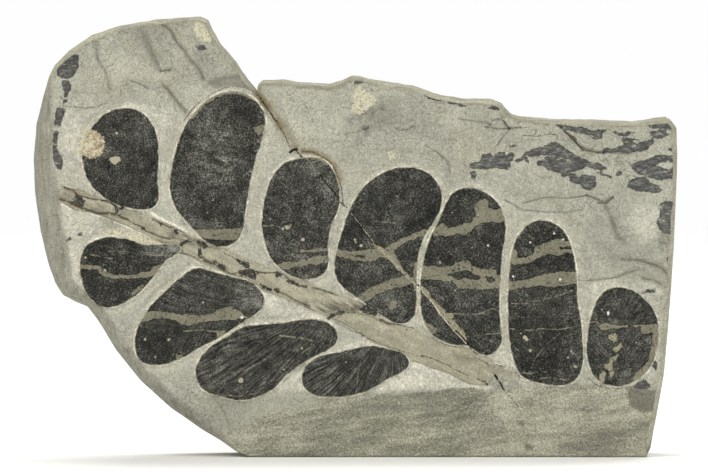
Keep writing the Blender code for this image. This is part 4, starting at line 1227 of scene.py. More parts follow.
def film_material():
    material, tree, shader = new_material("coal_film")
    read = marks_of(tree, "vein", "veined", "thin", "grainy")
    fine = grain(tree, 0.27, 2.0, rough=0.8)
    specks = grain(tree, 0.6, 4.0, seed=4.0, rough=0.7)
    patches = grain(tree, 2.0, 5.0, seed=6.0, rough=0.6)
    broad = grain(tree, 7.0, 3.0, seed=3.0)
    vein_place = add(tree, "Math", {0: read["vein"], 1: FIBRE_CHANGE * FIBRE_SIZE * MM}, operation="MULTIPLY")
    fibres = grain(tree, FIBRE_SIZE, 3.0, seed=vein_place)
    fibre_share = total(tree, 0.6, (read["veined"], 5.0))
    fine_share = total(tree, 2.6, (read["veined"], -4.0))
    thin_streaks = grain(tree, 1.0, 4.0, stretch=(0.22, 1.0, 1.0), seed=21.0, lean=-12.0, rough=0.65)
    thin_share = total(tree, -0.36, (thin_streaks, 1.0))
    tone = total(
        tree, -2.23, (broad, 0.6), (patches, 0.9), (specks, 0.7), (fibres, fibre_share), (fine, fine_share),
        (read["thin"], thin_share), (read["grainy"], 0.2), (read["veined"], -0.5),
    )
    film = add(tree, "ValToRGB", {"Fac": tone}, stops=FILM_TONES)
    wave = add(tree, "Math", {0: read["vein"], 1: 2.0 * math.pi}, operation="MULTIPLY")
    wave = add(tree, "Math", {0: wave}, operation="SINE")
    vein = add(tree, "MapRange", {"Value": wave, "From Min": 0.1})
    here_and_there = grain(tree, 4.0, 3.0, seed=12.0, low=0.5, high=0.75)
    vein_strength = total(tree, 0.0, (here_and_there, 0.2), (read["veined"], 0.9))
    film = lay(tree, film, "#66655C", vein, vein_strength)
    fissures = hair_lines(tree, 4.0, 30.0, 0.008)
    film = lay(tree, film, "#0D0C0A", fissures, 0.7)

    # Painted shadow: a dark line along the film's edge where it steps down to a flaked band.
    film = lay(tree, film, "#0D0C0A", ragged(tree, "bare", 0.9, 0.3, 0.06, seed=2.0, beyond=0.14), 0.6)
    bare = ragged(tree, "bare", 0.9, 0.3, 0.04, seed=2.0)
    rock_grain = grain(tree, 0.35, 4.0, seed=14.0, rough=0.7)
    rock = add(tree, "ValToRGB", {"Fac": rock_grain}, stops=BARE_ROCK_TONES)
    rock = lay(tree, rock, "#8B8774", grain(tree, 3.2, 3.0, seed=15.0, low=0.42, high=0.62), 0.45)
    left_over = grain(tree, 0.4, 5.0, seed=16.0, stretch=(0.7, 1.0, 1.0), rough=0.65, low=0.66, high=0.58)
    bare = add(tree, "Math", {0: bare, 1: left_over}, operation="MULTIPLY")
    face = lay(tree, film, rock, bare)
    flaked = ragged(tree, "flaked", 0.5, 0.3, 0.04, seed=5.0)
    clay = add(tree, "ValToRGB", {"Fac": rock_grain}, stops=FLAKED_TONES)
    face = lay(tree, face, clay, flaked)
    whole = grain(tree, 1.4, 4.0, seed=6.0, low=0.4, high=0.52)
    crack_tone = add(tree, "ValToRGB", {"Fac": rock_grain}, stops=CRACK_TONES)
    face = lay(tree, face, crack_tone, ragged(tree, "crack", 0.6, 0.12, 0.06, seed=7.0), whole, 0.9)
    unbroken = grain(tree, 0.9, 4.0, seed=10.0, low=0.36, high=0.46)
    face = lay(tree, face, "#D0C7B5", ragged(tree, "pale_edge", 0.6, 0.06, 0.05, seed=10.0), unbroken)
    face = lay(tree, face, "#0B0A08", ragged(tree, "split", 0.8, 0.05, 0.05, seed=9.0))
    rust = ragged(tree, "rust", 0.7, 0.5, 0.12, seed=4.0)
    rust_grain = grain(tree, 0.5, 4.0, seed=7.0)
    rust_tone = add(tree, "ValToRGB", {"Fac": rust_grain}, stops=RUST_TONES)
    face = lay(tree, face, rust_tone, rust)
    face = lay(tree, face, "#A39E88", ragged(tree, "spot", 0.6, 0.16, 0.06, seed=8.0))
    face = lay(tree, face, "#E4E2D8", ragged(tree, "white", 0.5, 0.03, 0.08, seed=8.0))
    cushion = ragged(tree, "cushion", 1.2, 0.16, 0.05, seed=11.0)
    cushion_tone = add(tree, "ValToRGB", {"Fac": rock_grain}, stops=CUSHION_TONES)
    face = lay(tree, face, cushion_tone, cushion)

    dull = bare
    for part in (rust, flaked, cushion):
        dull = add(tree, "Math", {0: dull, 1: part}, operation="MAXIMUM")
    relief = total(
        tree, 0.0, (fine, 1.0), (specks, 1.2), (patches, 1.5), (dull, -1.6), (fissures, -1.0),
        (vein, vein_strength),
    )
    bump = add(tree, "Bump", {"Height": relief, "Strength": 1.0, "Distance": 0.1 * MM})
    gloss = {"Value": dull, "To Min": COAL_ROUGHNESS, "To Max": SHALE_ROUGHNESS}
    tree.links.new(face, shader["Base Color"])
    tree.links.new(add(tree, "MapRange", gloss), shader["Roughness"])
    tree.links.new(bump, shader["Normal"])
    shader["IOR"].default_value = COAL_IOR
    shader["Specular IOR Level"].default_value = FILM_SHINE
    return material


coal_film = film_material()
print("the coal film has", len(coal_film.node_tree.nodes), "nodes")

# %% [markdown]
# ### Stem
#
# The stem was thick and woody. It left flat pieces of tan clay, faintly fluted along their length, with
# crumbs of its coal skin between them.

# %% Stem material
CLAY_TONES = [(0.3, "#898570"), (0.5, "#9A9681"), (0.7, "#A9A590")]
CRUMB_TONES = [(0.35, "#1C1B17"), (0.55, "#34332C"), (0.68, "#5E5B50")]
# The stem's flutes run down to the right by this many degrees.
STEM_LEAN = -28.0


def stem_material():
    material, tree, shader = new_material("stem_impression")
    stain = add(tree, "Attribute", output="Fac", attribute_name="stain")
    fine = grain(tree, GRAIN_SIZE, 2.0, rough=0.7)
    silt = grain(tree, 0.6, 3.0, seed=2.0)
    fluting = grain(tree, 0.9, 4.0, stretch=(0.2, 1.0, 1.0), seed=2.0, lean=STEM_LEAN)
    clay = add(tree, "ValToRGB", {"Fac": fluting}, stops=CLAY_TONES)
    clay = lay(tree, clay, "#7E7A6A", grain(tree, 6.0, 3.0, seed=19.0, low=0.5, high=0.7), 0.5)
    streaks = grain(tree, 0.8, 4.0, stretch=(0.3, 1.0, 1.0), seed=5.0, lean=STEM_LEAN, low=0.4, high=0.6)
    clay = lay(tree, clay, "#605C50", stain, streaks)
    clay = speckled(tree, clay, fine, 0.6, 1.4)
    clay = speckled(tree, clay, silt, 0.85, 1.15)
    crumbs = ragged(tree, "coal", 0.5, 0.35, 0.06)
    holes = grain(tree, 0.5, 4.0, seed=8.0, rough=0.7, low=0.34, high=0.42)
    crumbs = add(tree, "Math", {0: crumbs, 1: holes}, operation="MULTIPLY")
    coal_grain = grain(tree, 0.5, 3.0, seed=9.0)
    coal_tone = add(tree, "ValToRGB", {"Fac": coal_grain}, stops=CRUMB_TONES)
    face = lay(tree, clay, coal_tone, crumbs)
    whole = grain(tree, 0.8, 4.0, seed=2.5, low=0.34, high=0.44)
    face = lay(tree, face, "#453D2F", ragged(tree, "brown_and_shadow_line", 0.5, 0.08, 0.05, seed=6.0), whole, 0.9)
    face = lay(tree, face, "#3B3324", ragged(tree, "split", 0.8, 0.06, 0.05, seed=9.0))
    relief = total(tree, 0.0, (fluting, 1.5), (crumbs, 1.0), (fine, 1.0))
    bump = add(tree, "Bump", {"Height": relief, "Strength": 0.8, "Distance": 0.07 * MM})
    tree.links.new(face, shader["Base Color"])
    tree.links.new(bump, shader["Normal"])
    shader["Roughness"].default_value = SHALE_ROUGHNESS
    shader["IOR"].default_value = SHALE_IOR
    return material


stem_clay = stem_material()
print("the stem has", len(stem_clay.node_tree.nodes), "nodes")

# %% [markdown]
# ## The slab
#
# The front sheet ends at a rim a little inside the slab's outline. From there rows of points run back to the
# flat rear. On the left they cross the wide ground bevel, everywhere else a crumbled edge.

# %% Rim of the front face
# How wide the ground bevel down the left side is, as heights up the slab and widths in mm.
BEVEL_WIDTHS = np.array([
    (0, 2.4), (10, 2.6), (28, 2.6), (32, 3.4), (40, 4.7), (52, 4.8), (60, 4.0), (68, 3.2), (73, 1.8),
    (79, 0.8),
])
# The bevel ends at this x along the foot and at this height, and fades out before them.
BEVEL_FOOT_X = -23.8
BEVEL_TOP_Z = 78.6
BEVEL_FADE_X = 9.0
BEVEL_FADE_Z = 7.0
# Only what lies left of this x or below this height can have it: the broken top and the notch have none.
LEFT_X = -35.0
LOW_Z = 40.0
EDGE_WIDTH = 0.9
NOTCH = np.array((-19.4, 72.5))

edge_directions = smoothed(outward(slab_loop, 3), 6)
edge_directions /= np.linalg.norm(edge_directions, axis=1)[:, None]
edge_x, edge_z = slab_loop.T
bevel_share = smooth_step((BEVEL_FOOT_X - edge_x) / BEVEL_FADE_X)
bevel_share *= smooth_step((BEVEL_TOP_Z - edge_z) / BEVEL_FADE_Z)
bevel_share *= (edge_x < LEFT_X) | (edge_z < LOW_Z)
off_foot = smooth_step((edge_z - 0.3) / 1.5)
off_notch = smooth_step((np.linalg.norm(slab_loop - NOTCH, axis=1) - 0.6) / 4.0)
chips = 1.0 + 0.5 * rock_noise(slab_loop, 2.2, 9) + 0.3 * rock_noise(slab_loop, 0.9, 10)
crumble = EDGE_WIDTH * chips * (0.25 + 0.75 * off_notch)
bevel_width = np.interp(edge_z, BEVEL_WIDTHS[:, 0], BEVEL_WIDTHS[:, 1]) + 0.25 * (chips - 1.0)
rim_inset = (crumble * (1.0 - bevel_share) + bevel_width * bevel_share) * off_foot + 0.02
rim_inset = smoothed(rim_inset, 3)
rim = smoothed(slab_loop - edge_directions * rim_inset[:, None], 2)
print("rim stands in from the outline by", rim_inset.min().round(2), "to", rim_inset.max().round(2), "mm")

# %% [markdown]
# The face needs close points where it bends: in the grooves, beside the stem and along the creases. Points as
# close as that everywhere would make a mesh several times as heavy.

# %% Points of the front face
FINE_SPACING = 0.36
COARSE_SPACING = 0.55
HIDDEN_SPACING = 2.0
# Rings of points around each leaflet, and points on and beside each line, in mm.
GROOVE_RINGS = (-0.2, 0.12, 0.4, 0.75, 1.1, 1.5)
LINE_SIDES = (0.0, -0.22, 0.22)
# The face has finer points this near to a leaflet, to the stem and to a crease.
DETAIL_BY_LEAF = 2.4
DETAIL_BY_STEM = 1.5
DETAIL_BY_CREASE = 1.0

rings = [loop + outward(loop, 2) * gap for loop in leaf_loops.values() for gap in GROOVE_RINGS]
rings = [resample(ring, FINE_SPACING) for ring in rings]
seams = [line for line, *_ in CREASES + BREAK_LINES + BROWN_AND_SHADOW_LINES + PALE_RIDGES]
rings += [beside(line, FINE_SPACING, LINE_SIDES) for line in seams]
low = slab_loop.min(axis=0)
high = slab_loop.max(axis=0)
fine_points = hex_points(low, high, FINE_SPACING)
coarse_points = hex_points(low, high, COARSE_SPACING)
hidden_points = hex_points(low, high, HIDDEN_SPACING)


def wants_detail(points):
    """True near the grooves, the stem and the creases, and each point's distance to a leaflet."""
    gap = outside_leaves(points)
    close = (gap > 0.0) & (gap < DETAIL_BY_LEAF)
    close |= depth_inside(points, stem_loop) > -DETAIL_BY_STEM
    for line, half_width, _ in CREASES:
        close |= line_distance(points, line) < DETAIL_BY_CREASE + half_width
    return close, gap


fine_wanted, fine_gap = wants_detail(fine_points)
coarse_detail, coarse_gap = wants_detail(coarse_points)
hidden_gap = outside_leaves(hidden_points)
inner = np.vstack([
    *rings,
    fine_points[fine_wanted & (fine_gap > -0.1)],
    coarse_points[~coarse_detail & (coarse_gap > 0.0)],
    hidden_points[hidden_gap < -0.8],
])
inner = thinned(inner, FINE_SPACING * 0.55)
inner = inner[depth_inside(inner, rim) > FINE_SPACING * 0.5]
front_points = np.vstack([rim, inner])
front_faces = fill_sheet(rim, inner)
front_depth = face_depth(front_points)
print("front face:", len(front_points), "points,", len(front_faces), "triangles")

# %% [markdown]
# The side rows follow the same rule of wear as the solid: a wall that wanders in by up to 0.7 mm, and a foot
# that stays flat because it was sawn. Thin ledges follow the bedding, as they do on any split shale.

# %% Rows of the sides
BEVEL_ROWS = 8
WALL_ROWS = 20
SIDE_ROUGHNESS = 0.7
LEDGE_DEPTH = 0.22
PIT_DEPTH = 0.1

rim_depth = front_depth[:len(rim)]
edge_start = rim_depth + 1.5 + (SIDE_START_Y - 1.5 - rim_depth) * bevel_share
rows = []
row_broken = []
row_ground = []
for i in range(1, BEVEL_ROWS + WALL_ROWS + 1):
    if i <= BEVEL_ROWS:
        turn = math.radians(90.0 * i / BEVEL_ROWS)
        y = rim_depth + (edge_start - rim_depth) * (1.0 - math.cos(turn))
        inset = rim_inset * (1.0 - math.sin(turn))
        worn = 0.0
        ground = bevel_share
    else:
        share = (i - BEVEL_ROWS) / WALL_ROWS
        y = edge_start + (BACK_Y - edge_start) * share
        inset = np.zeros(len(rim))
        worn = smooth_step(share * 6.0) * off_foot * off_notch
        ground = bevel_share * (1.0 - smooth_step(share * 3.0))
    spots = np.column_stack([edge_x, y, edge_z])
    broad = np.array([0.5 + 0.5 * noise.noise(Vector((x, 2.0 * d, z)) * 0.13) for x, d, z in spots])
    ledges = 0.5 + 0.5 * rock_noise(spots * (0.12, 1.0, 0.12), 0.9, 11)
    pits = rock_noise(spots, 1.4, 12)
    inset = inset + worn * (SIDE_ROUGHNESS * broad + LEDGE_DEPTH * ledges + PIT_DEPTH * pits)
    if i <= BEVEL_ROWS:
        inset = inset + 0.04 * rock_noise(spots, 1.8, 13) * off_foot * math.sin(turn)
    place = slab_loop - edge_directions * inset[:, None]
    place[:, 1] = np.maximum(place[:, 1], 0.0)
    rows.append(np.column_stack([place[:, 0], y, place[:, 1]]))
    row_broken.append(1.0 - ground)
    row_ground.append(ground)
print(len(rows), "rows of", len(rim), "points")

# %% [markdown]
# The back parted along the beds too, and nobody finished it. It lies in broad terraces, each one bed lower
# than the next, with painted shade along the little foot where a bed broke off. They reach about a millimetre
# into the solid.

# %% Terraces of the back
BACK_SPACING = 0.85
# How thick each bed is in mm, how many beds the back falls by at most, and how much of a bed its edge takes.
BACK_BED = 0.36
BACK_FALL = 4.4
BED_EDGE = 0.06
FOOT_SHARE = 0.04


def back_terraces(points, edge):
    """How deep the parted back lies at each point, in mm, and how near the point is to the foot of a bed,
    which is painted as shade.
    """
    fall = BACK_FALL * (0.25 + 0.5 * rock_noise(points * (0.6, 1.0), 22.0, 60))
    fall = np.maximum(fall + 0.35 * rock_noise(points, 5.0, 61) + 0.12 * rock_noise(points, 1.6, 63), 0.0)
    share = fall - np.floor(fall)
    step = smooth_step((share - 0.5) / BED_EDGE + 0.5)
    away = smooth_step(depth_inside(points, edge) / 1.5)
    seen = smooth_step(0.5 + 2.0 * rock_noise(points, 6.0, 62))
    foot = bell(share - 0.5 - BED_EDGE, FOOT_SHARE) * seen
    return BACK_BED * (np.floor(fall) + step) * away, foot * away


# %% [markdown]
# The slab is one stone, so the front, the rows of the sides and the back become one closed mesh. Separate
# sheets would be easier to make, but light would get in where they meet.

# %% Join front, sides and back
columns = len(rim)
front_count = len(front_points)
back_edge = rows[-1][:, [0, 2]]
back_inner = hex_points(low, high, BACK_SPACING)
back_inner = back_inner[depth_inside(back_inner, back_edge) > BACK_SPACING * 0.4]
back_faces = fill_sheet(back_edge, back_inner)
back_wear, back_foot_shade = back_terraces(back_inner, back_edge)
back_wear += 0.05 * (0.5 + 0.5 * rock_noise(back_inner, 2.0, 14))

ring_starts = [0] + [front_count + i * columns for i in range(len(rows))]
side_faces = [wall_between(near, far, columns) for near, far in zip(ring_starts, ring_starts[1:])]
back_start = front_count + len(rows) * columns
back_index = np.concatenate([ring_starts[-1] + np.arange(columns), back_start + np.arange(len(back_inner))])

slab_points = np.vstack([
    np.column_stack([front_points[:, 0], front_depth, front_points[:, 1]]),
    *rows,
    np.column_stack([back_inner[:, 0], BACK_Y - back_wear, back_inner[:, 1]]),
])
slab_faces = np.vstack([front_faces, *side_faces, back_index[back_faces][:, ::-1]])
print("slab:", len(slab_points), "points,", len(slab_faces), "triangles")

# %% [markdown]
# ## Marks on the slab
#
# Now every point of the slab learns what lies on it. Only the front needs the drawn shapes. The sides and the
# back need to know that they are broken, ground or sawn rock.

# %% Marks on the slab
def deepest(points, shapes, reach=4.0):
    """How deep in mm each point lies in the nearest of several shapes of the photograph."""
    return np.max([depth_inside(points, on_slab(shape), reach) for shape in shapes], axis=0)


def within_lines(points, lines):
    """How deep in mm each point lies in the nearest of several thin lines, each with its width."""
    return np.max([width / 2 - line_distance(points, line) for line, width in lines], axis=0)


def band_strength(points, bands):
    """0 to 1 along soft bands: a line, a half width and a strength each."""
    strength = np.zeros(len(points))
    for line, half_width, most in bands:
        strength = np.maximum(strength, most * bell(line_distance(points, line), half_width))
    return strength


def soft_spots(points, spots):
    """0 to 1 around the nearest of several soft spots of the photograph, each with its radius in mm."""
    return np.max([bell(from_pixel(points, x, y), radius) for x, y, radius in spots], axis=0)


def summed_spots(points, spots):
    """The sum of soft spots of the photograph, each with its radius in mm and its amount."""
    return sum(amount * bell(from_pixel(points, x, y), radius) for x, y, radius, amount in spots)


# How pale the scribed rock is around each leaflet, and all over the lower bed.
SCRIBED_PALE = 0.32
LOWER_BED_PALE = 0.05
# The powdered rim beside each film, in mm. It also carries a painted highlight, as if a groove wall caught
# the light.
RIM_HALF_WIDTH = 0.15
gap = outside_leaves(front_points)
covered = smooth_step(above_cover_line(front_points) / COVER_RAMP + 0.5)
sawn = smooth_step((FOOT_BEVEL_TOP_Z + 1.0 - front_points[:, 1]) / 1.2)
near_leaf = bell(gap - 0.7, 0.85)
uneven = 0.8 + 0.5 * rock_noise(front_points, 4.0, 20)
pale = LOWER_BED_PALE * (1.0 - covered) + SCRIBED_PALE * near_leaf * uneven
for shape, strength in PALE_PATCHES:
    pale += strength * smooth_step(depth_inside(front_points, on_slab(shape)) / 2.0 + 0.6) * uneven
pale *= 1.0 - sawn
# Painted shade and shadow along the creases: a soft band and a thin line for each.
crease_shade_bands = [(line, 0.55 * half_width + 0.03, min(0.9, 2.0 * depth)) for line, half_width, depth in CREASES]
film_rim_and_highlight = RIM_HALF_WIDTH - np.abs(gap - RIM_HALF_WIDTH)
crease_shadow_lines = [(line, 0.22 * depth + 0.04) for line, _, depth in CREASES]
break_lines = [(line, 2.0 * half_width) for line, half_width in BREAK_LINES]
fading = np.clip(0.85 + 0.6 * rock_noise(front_points, 2.0, 21), 0.1, 1.0)

front_marks = {
    "pale": np.clip(pale, 0.0, 1.0),
    "cover": covered,
    "shaded": 0.8 * smooth_step(deepest(front_points, SHADED_SLOPES) / 0.8 + 0.3),
    "smudge": soft_spots(front_points, GREY_SMUDGES),
    "worn": soft_spots(front_points, WORN_SCRAPS),
    "tone": summed_spots(front_points, TONE_SPOTS),
    # Painted shade along the creases.
    "crease": band_strength(front_points, crease_shade_bands) * fading,
    "crease_shadow_line": within_lines(front_points, crease_shadow_lines),
    "stain": band_strength(front_points, BROWN_STAINS) * fading,
    "brown_and_shadow_line": within_lines(front_points, BROWN_AND_SHADOW_LINES),
    # Pale powder and a painted highlight beside each film and along the scribed ridges.
    "rim": np.maximum(film_rim_and_highlight, within_lines(front_points, PALE_RIDGES)),
    "coal": deepest(front_points, COAL_SCRAPS + STEM_CRUMBS),
    "cream": deepest(front_points, CREAM_PATCHES + RUST_PATCHES),
    "dark_foot": deepest(front_points, [DARK_FOOT]),
    "pale_foot": deepest(front_points, [PALE_FOOT]),
    "foot_spot": deepest(front_points, FOOT_SPOTS),
    "split": within_lines(front_points, break_lines),
    "broken": np.zeros(front_count),
    "ground": np.zeros(front_count),
}
# The marks that are distances, and the value that says that a mark of that kind is nowhere near.
DISTANCES = (
    "crease_shadow_line", "brown_and_shadow_line", "rim", "coal", "cream", "dark_foot", "pale_foot", "foot_spot", "split",
)
FAR = -4.0
behind_count = len(slab_points) - front_count
slab_marks = {}
for name, values in front_marks.items():
    behind = np.full(behind_count, FAR if name in DISTANCES else 0.0)
    slab_marks[name] = np.concatenate([values, behind])
side_count = len(rows) * columns
slab_marks["broken"][front_count:front_count + side_count] = np.concatenate(row_broken)
slab_marks["ground"][front_count:front_count + side_count] = np.concatenate(row_ground)
slab_marks["cover"][back_start:] = 0.9
# Painted shade at the foot of each bed step on the back.
slab_marks["crease"][back_start:] = 0.45 * back_foot_shade
slab_marks["ground"][:columns] = 0.7 * bevel_share
slab_marks["broken"][:columns] = 0.6 * (1.0 - bevel_share) * off_foot

slab = make_piece("slab", slab_points, slab_faces, slab_marks, shale)
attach(slab, "root")
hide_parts("shale_slab")

# %% [markdown]
# ## The leaflets
#
# A leaflet is a film on a low cushion of rock between its grooves. Its edge is nicked where the scribe caught
# it. The veins are worked out from how the plant grew them: they leave the middle vein almost along it and
# arch out to the margin, so the place where a vein left the middle can be found from any point. In two of the
# lower leaflets the veins fan out from the stem instead, and the direction back to that place tells them
# apart. Either way each vein gets a number, which is what the mesh stores, and the material draws one line to
# each whole number.

# %% Veins
VEIN_SPACING = 0.55
VEIN_ARCH = 0.05
# The pixels where each leaflet's middle vein starts, by the stem, and where it points.
LEAF_AXES = {
    "pinnule_upper_1": ((130, 206), (114, 108)),
    "pinnule_upper_2": ((214, 246), (224, 90)),
    "pinnule_upper_3": ((308, 282), (298, 155)),
    "pinnule_upper_4": ((390, 320), (398, 166)),
    "pinnule_upper_5": ((482, 353), (464, 187)),
    "pinnule_upper_6": ((556, 385), (540, 219)),
    "pinnule_upper_7": ((622, 385), (620, 286)),
    "pinnule_lower_1": ((174, 246), (82, 290)),
    "pinnule_lower_2": ((262, 292), (138, 352)),
}
# The pixel that the veins of the last two lower leaflets fan out from, where each sat on the stem.
VEIN_FANS = {"pinnule_lower_3": (350, 295), "pinnule_lower_4": (395, 325)}
# How far from that place, in mm, the veins of a fan stand one vein spacing apart.
FAN_REACH = 15.0
# Leaflets whose veins show clearly, and how clearly.
VEINED = {"pinnule_lower_3": 0.2, "pinnule_lower_4": 0.28, "pinnule_lower_2": 0.08, "pinnule_upper_7": 0.08}


def arching_veins(points, axis):
    """The number of the vein through each point, counted along the middle vein."""
    base, tip = on_slab(axis)
    along = (tip - base) / np.linalg.norm(tip - base)
    across = np.array((-along[1], along[0]))
    offset = points - base
    sideways = np.abs(offset @ across)
    start = offset @ along - np.sqrt((sideways + 0.12) / VEIN_ARCH)
    return start / VEIN_SPACING + 0.4 * rock_noise(points, 2.5, 30)


def fanning_veins(points, pixel):
    """The number of the vein through each point, counted around the place that the veins fan from."""
    back = on_slab(pixel) - points
    turn = np.arctan2(back[:, 1], back[:, 0])
    return turn * FAN_REACH / VEIN_SPACING + 0.5 * rock_noise(points, 2.5, 30)


def veins(points, name):
    """The number of the vein that passes through each point of a leaflet."""
    if name in VEIN_FANS:
        return fanning_veins(points, VEIN_FANS[name])
    return arching_veins(points, LEAF_AXES[name])


print(len(LEAF_AXES), "leaflets with arching veins,", len(VEIN_FANS), "with fans")

# %% [markdown]
# The film itself is a low dome. It is rounded down to its rim and goes on a little way into the rock, so that
# its edge casts the thin shadow that the real one does. A flat decal would have no edge.

# %% Leaflets
FILM_SPACING = 0.27
FILM_THICKNESS = 0.16
FILM_DOME = 0.14
FILM_ROOT = 0.9
# The film's edge is rounded by a shoulder this wide and this low, in mm.
SHOULDER_WIDTH = 0.12
SHOULDER_DROP = 0.1
# The rock of the cushion shows in a rim this wide around the film, in mm.
CUSHION_RIM = 0.1
# Lines that the film's mesh follows, and how far beside them it has points too.
FILM_SEAMS = [line for line, _ in FLAKED_CRACKS + FILM_CRACKS + DARK_CRACKS + PALE_CRACKS]
SEAM_SIDES = (0.0, -0.15, 0.15)


def within_dots(points, dots):
    """How deep in mm each point lies in the nearest of several round dots of the photograph."""
    return np.max([radius - from_pixel(points, x, y) for x, y, radius in dots], axis=0)


def film_marks(points, name):
    """What the coal film's material needs to know at each point."""
    return {
        "bare": np.minimum(deepest(points, BARE_BANDS), -deepest(points, FILM_ISLANDS)),
        "flaked": np.maximum(within_lines(points, FLAKED_CRACKS), deepest(points, FLAKED_STRIPS)),
        "crack": within_lines(points, FILM_CRACKS),
        "pale_edge": within_lines(points, PALE_CRACKS),
        "split": within_lines(points, DARK_CRACKS),
        "spot": within_dots(points, ROCK_SPOTS),
        "white": within_dots(points, WHITE_GRAINS),
        "thin": summed_spots(points, THIN_FILM),
        "grainy": soft_spots(points, GRAINY_FILM),
        "rust": deepest(points, RUST_PATCHES),
        "vein": veins(points, name),
        "veined": np.full(len(points), VEINED.get(name, 0.0)),
    }


def backed_piece(name, sheet, faces, front_y, rings, marks, material, **ring_marks):
    """A closed piece: a front sheet, rings of points with their y behind its rim, and a flat rear."""
    count = len(rings[0][0])
    points = [np.column_stack([edge[:, 0], y, edge[:, 1]]) for edge, y in [(sheet, front_y), *rings]]
    starts = [0] + [len(sheet) + i * count for i in range(len(rings))]
    walls = [wall_between(near, far, count) for near, far in zip(starts, starts[1:])]
    rear = fill_sheet(rings[-1][0], np.empty((0, 2)))[:, ::-1] + starts[-1]
    all_marks = {}
    for mark, values in marks.items():
        at_ring = np.full(count, ring_marks[mark]) if mark in ring_marks else values[:count]
        all_marks[mark] = np.concatenate([values, *[at_ring] * len(rings)])
    return make_piece(name, np.vstack(points), np.vstack([faces, *walls, rear]), all_marks, material)


def make_leaflet(name):
    loop = leaf_loops[name]
    nicks = 0.09 * rock_noise(loop, 0.9, 40) + 0.06 * rock_noise(loop, 0.4, 41)
    edge = resample(loop + outward(loop, 2) * nicks[:, None], FILM_SPACING)
    shoulder = edge - outward(edge, 2) * SHOULDER_WIDTH
    inner = hex_points(edge.min(axis=0), edge.max(axis=0), FILM_SPACING)
    on_cracks = [beside(line, FILM_SPACING, SEAM_SIDES) for line in FILM_SEAMS]
    inner = thinned(np.vstack([*on_cracks, inner]), FILM_SPACING * 0.5)
    inner = inner[depth_inside(inner, shoulder) > FILM_SPACING * 0.6]
    sheet = np.vstack([shoulder, inner])
    faces = fill_sheet(shoulder, inner)
    marks = film_marks(sheet, name)
    depth = depth_inside(sheet, edge, 1.0)
    height = bedding_height(sheet) + FILM_THICKNESS + FILM_DOME * smooth_step(depth / 4.0)
    height -= 0.07 * smooth_step(marks["bare"] / 0.3 + 0.5) + 0.06 * smooth_step(marks["flaked"] / 0.2 + 0.5)
    height -= 0.2 * smooth_step(marks["split"] / 0.1 + 0.5)
    height += 0.03 * rock_noise(sheet, 1.2, 42) + 0.06 * rock_noise(sheet, 3.5, 43)
    marks["cushion"] = CUSHION_RIM - depth
    count = len(edge)
    edge_y = FOSSIL_Y - (height[:count] - SHOULDER_DROP)
    rings = [(edge, edge_y), (edge, np.full(count, FOSSIL_Y + FILM_ROOT))]
    name += "_film"
    return backed_piece(name, sheet, faces, FOSSIL_Y - height, rings, marks, coal_film, cushion=CUSHION_RIM)


for name in LEAFLETS:
    leaflet = make_leaflet(name)
    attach(leaflet, "root")
    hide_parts(name)

# %% [markdown]
# ## The stem
#
# The stem's solid has bites where the leaflets lie over it, and its mesh takes the same outline.

# %% Stem
STEM_SPACING = 0.3
# The stem's clay smears this far over the rock beside it, in mm.
STEM_SPREAD = 0.45
# The smear fades out towards the stem's left end, at this x.
STEM_END_X = -48.0
STEM_PROUD = 0.12
STEM_DOME = 0.14
STEM_ROOT = 0.7


def make_stem():
    edge = resample(stem_loop, STEM_SPACING, soften=2)
    spread = np.clip(outside_leaves(edge) - 0.4, 0.0, STEM_SPREAD)
    spread = spread * smooth_step((edge[:, 0] - STEM_END_X) / 8.0)
    edge = edge + smoothed(outward(edge, 2), 4) * (spread + 0.1 * rock_noise(edge, 0.9, 50))[:, None]
    edge = resample(edge, STEM_SPACING)
    inner = hex_points(edge.min(axis=0), edge.max(axis=0), STEM_SPACING)
    inner = inner[depth_inside(inner, edge) > STEM_SPACING * 0.5]
    sheet = np.vstack([edge, inner])
    faces = fill_sheet(edge, inner)
    inside = depth_inside(sheet, edge)
    height = bedding_height(sheet) + STEM_PROUD + STEM_DOME * smooth_step(inside / 1.4)
    height += 0.05 * rock_noise(sheet * (0.5, 1.0), 1.6, 51)
    marks = {
        "coal": deepest(sheet, STEM_CRUMBS),
        "brown_and_shadow_line": within_lines(sheet, BROWN_AND_SHADOW_LINES),
        "stain": np.minimum(band_strength(sheet, STEM_STAINS), 1.3),
        "split": within_lines(sheet, [(line, 1.5 * half_width) for line, half_width in BREAK_LINES]),
    }
    rings = [(edge, np.full(len(edge), FOSSIL_Y + STEM_ROOT))]
    return backed_piece("stem", sheet, faces, FOSSIL_Y - height, rings, marks, stem_clay)


stem = make_stem()
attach(stem, "root")
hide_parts("rachis")

# %% [markdown]
# ## The set
#
# The plate stands on a round white board whose rim fades into a white background, so the floor has no far
# edge from any side. A wall behind the plate would hide its back. A large soft light stands up and to the
# left, a weaker one fills from the right, and a third stands behind, so the shadow lies in front of the
# plate.

# %% White board
BOARD_RADIUS = 1.15
BOARD_FADE = 0.7
# The board lies a little below the plate's resting face, so the two faces don't coincide.
BOARD_DROP = 0.0001


def board_material():
    material, tree, shader = new_material("matt_white_board")
    place = add(tree, "TexCoord", output="Object")
    from_middle = add(tree, "VectorMath", {0: place}, output="Value", operation="LENGTH")
    fade = {"Value": from_middle, "From Min": BOARD_RADIUS, "From Max": BOARD_RADIUS - BOARD_FADE}
    tree.links.new(add(tree, "MapRange", fade), shader["Alpha"])
    shader["Base Color"].default_value = linear("#F7F7F4")
    shader["Roughness"].default_value = 0.95
    return material


board_place = (0.0, 0.0, -BOARD_DROP)
bpy.ops.mesh.primitive_circle_add(vertices=96, radius=BOARD_RADIUS, fill_type="NGON", location=board_place)
board = bpy.context.object
board.name = "white_board"
board.data.materials.append(board_material())
print("board", 2.0 * BOARD_RADIUS, "m across")

# %% [markdown]
# The camera stands a good way off with a long lens, as for a catalogue, so that the plate keeps its
# proportions. It looks down on the plate by only a few degrees.

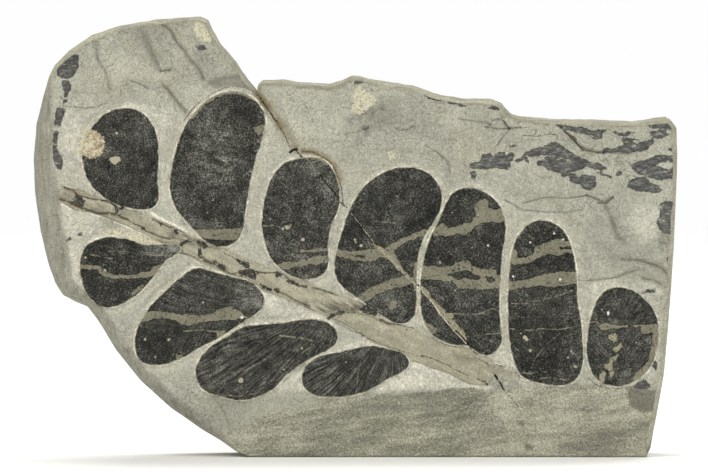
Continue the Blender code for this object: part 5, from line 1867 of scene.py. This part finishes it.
# %% Camera
FRAME_PIXELS = (708, 472)
SENSOR_WIDTH = 36.0
CAMERA_DISTANCE = 2.4
CAMERA_DROP = math.radians(2.5)
AIM_Y = -0.008
aim_x, aim_z = on_slab((FRAME_PIXELS[0] / 2, FRAME_PIXELS[1] / 2)) * MM
aim = Vector((aim_x, AIM_Y, aim_z))
camera_data = bpy.data.cameras.new("camera")
camera_data.sensor_width = SENSOR_WIDTH
camera_data.lens = SENSOR_WIDTH * CAMERA_DISTANCE / (FRAME_PIXELS[0] / PIXELS_PER_MM * MM)
camera = bpy.data.objects.new("camera", camera_data)
camera.location = aim + Vector((0.0, -math.cos(CAMERA_DROP), math.sin(CAMERA_DROP))) * CAMERA_DISTANCE
camera.rotation_euler = (math.radians(90.0) - CAMERA_DROP, 0.0, 0.0)
bpy.context.scene.collection.objects.link(camera)
bpy.context.scene.camera = camera
print("lens", round(camera_data.lens), "mm")

# %% [markdown]
# The lights are as big as a studio's soft boxes. A small lamp would draw a hard black shadow in each groove.

# %% Lights
def soft_light(name, place, size, watts, colour):
    data = bpy.data.lights.new(name, "AREA")
    data.shape = "RECTANGLE"
    data.size, data.size_y = size
    data.energy = watts
    data.color = linear(colour)[:3]
    light = bpy.data.objects.new(name, data)
    light.location = place
    light.rotation_euler = (aim - Vector(place)).to_track_quat("-Z", "Y").to_euler()
    bpy.context.scene.collection.objects.link(light)
    print(name, "light:", watts, "W")


soft_light("key", (-0.9, -1.1, 1.2), (1.2, 1.2), 24.0, "#FFFDF8")
soft_light("fill", (1.1, -1.1, 0.7), (1.2, 1.2), 12.0, "#FAFCFF")
soft_light("back", (0.15, 0.6, 1.35), (1.6, 1.0), 23.0, "#FFFFFF")

# %% [markdown]
# The air of the studio is a weak even light. The background that shows past the board is pure white, so it is
# brighter than the light that it gives: rays that come straight from the camera see the white one.

# %% Background
AIR_LIGHT = 0.22
world = bpy.data.worlds.new("studio")
world.use_nodes = True
studio = world.node_tree
studio.nodes.clear()
air = add(studio, "Background", {"Color": "#FFFFFF", "Strength": AIR_LIGHT})
white = add(studio, "Background", {"Color": "#FEFEFE", "Strength": 1.0})
seen = add(studio, "LightPath", output="Is Camera Ray")
add(studio, "OutputWorld", {"Surface": add(studio, "MixShader", {0: seen, 1: air, 2: white})})
bpy.context.scene.world = world
bpy.context.scene.view_settings.view_transform = "Standard"
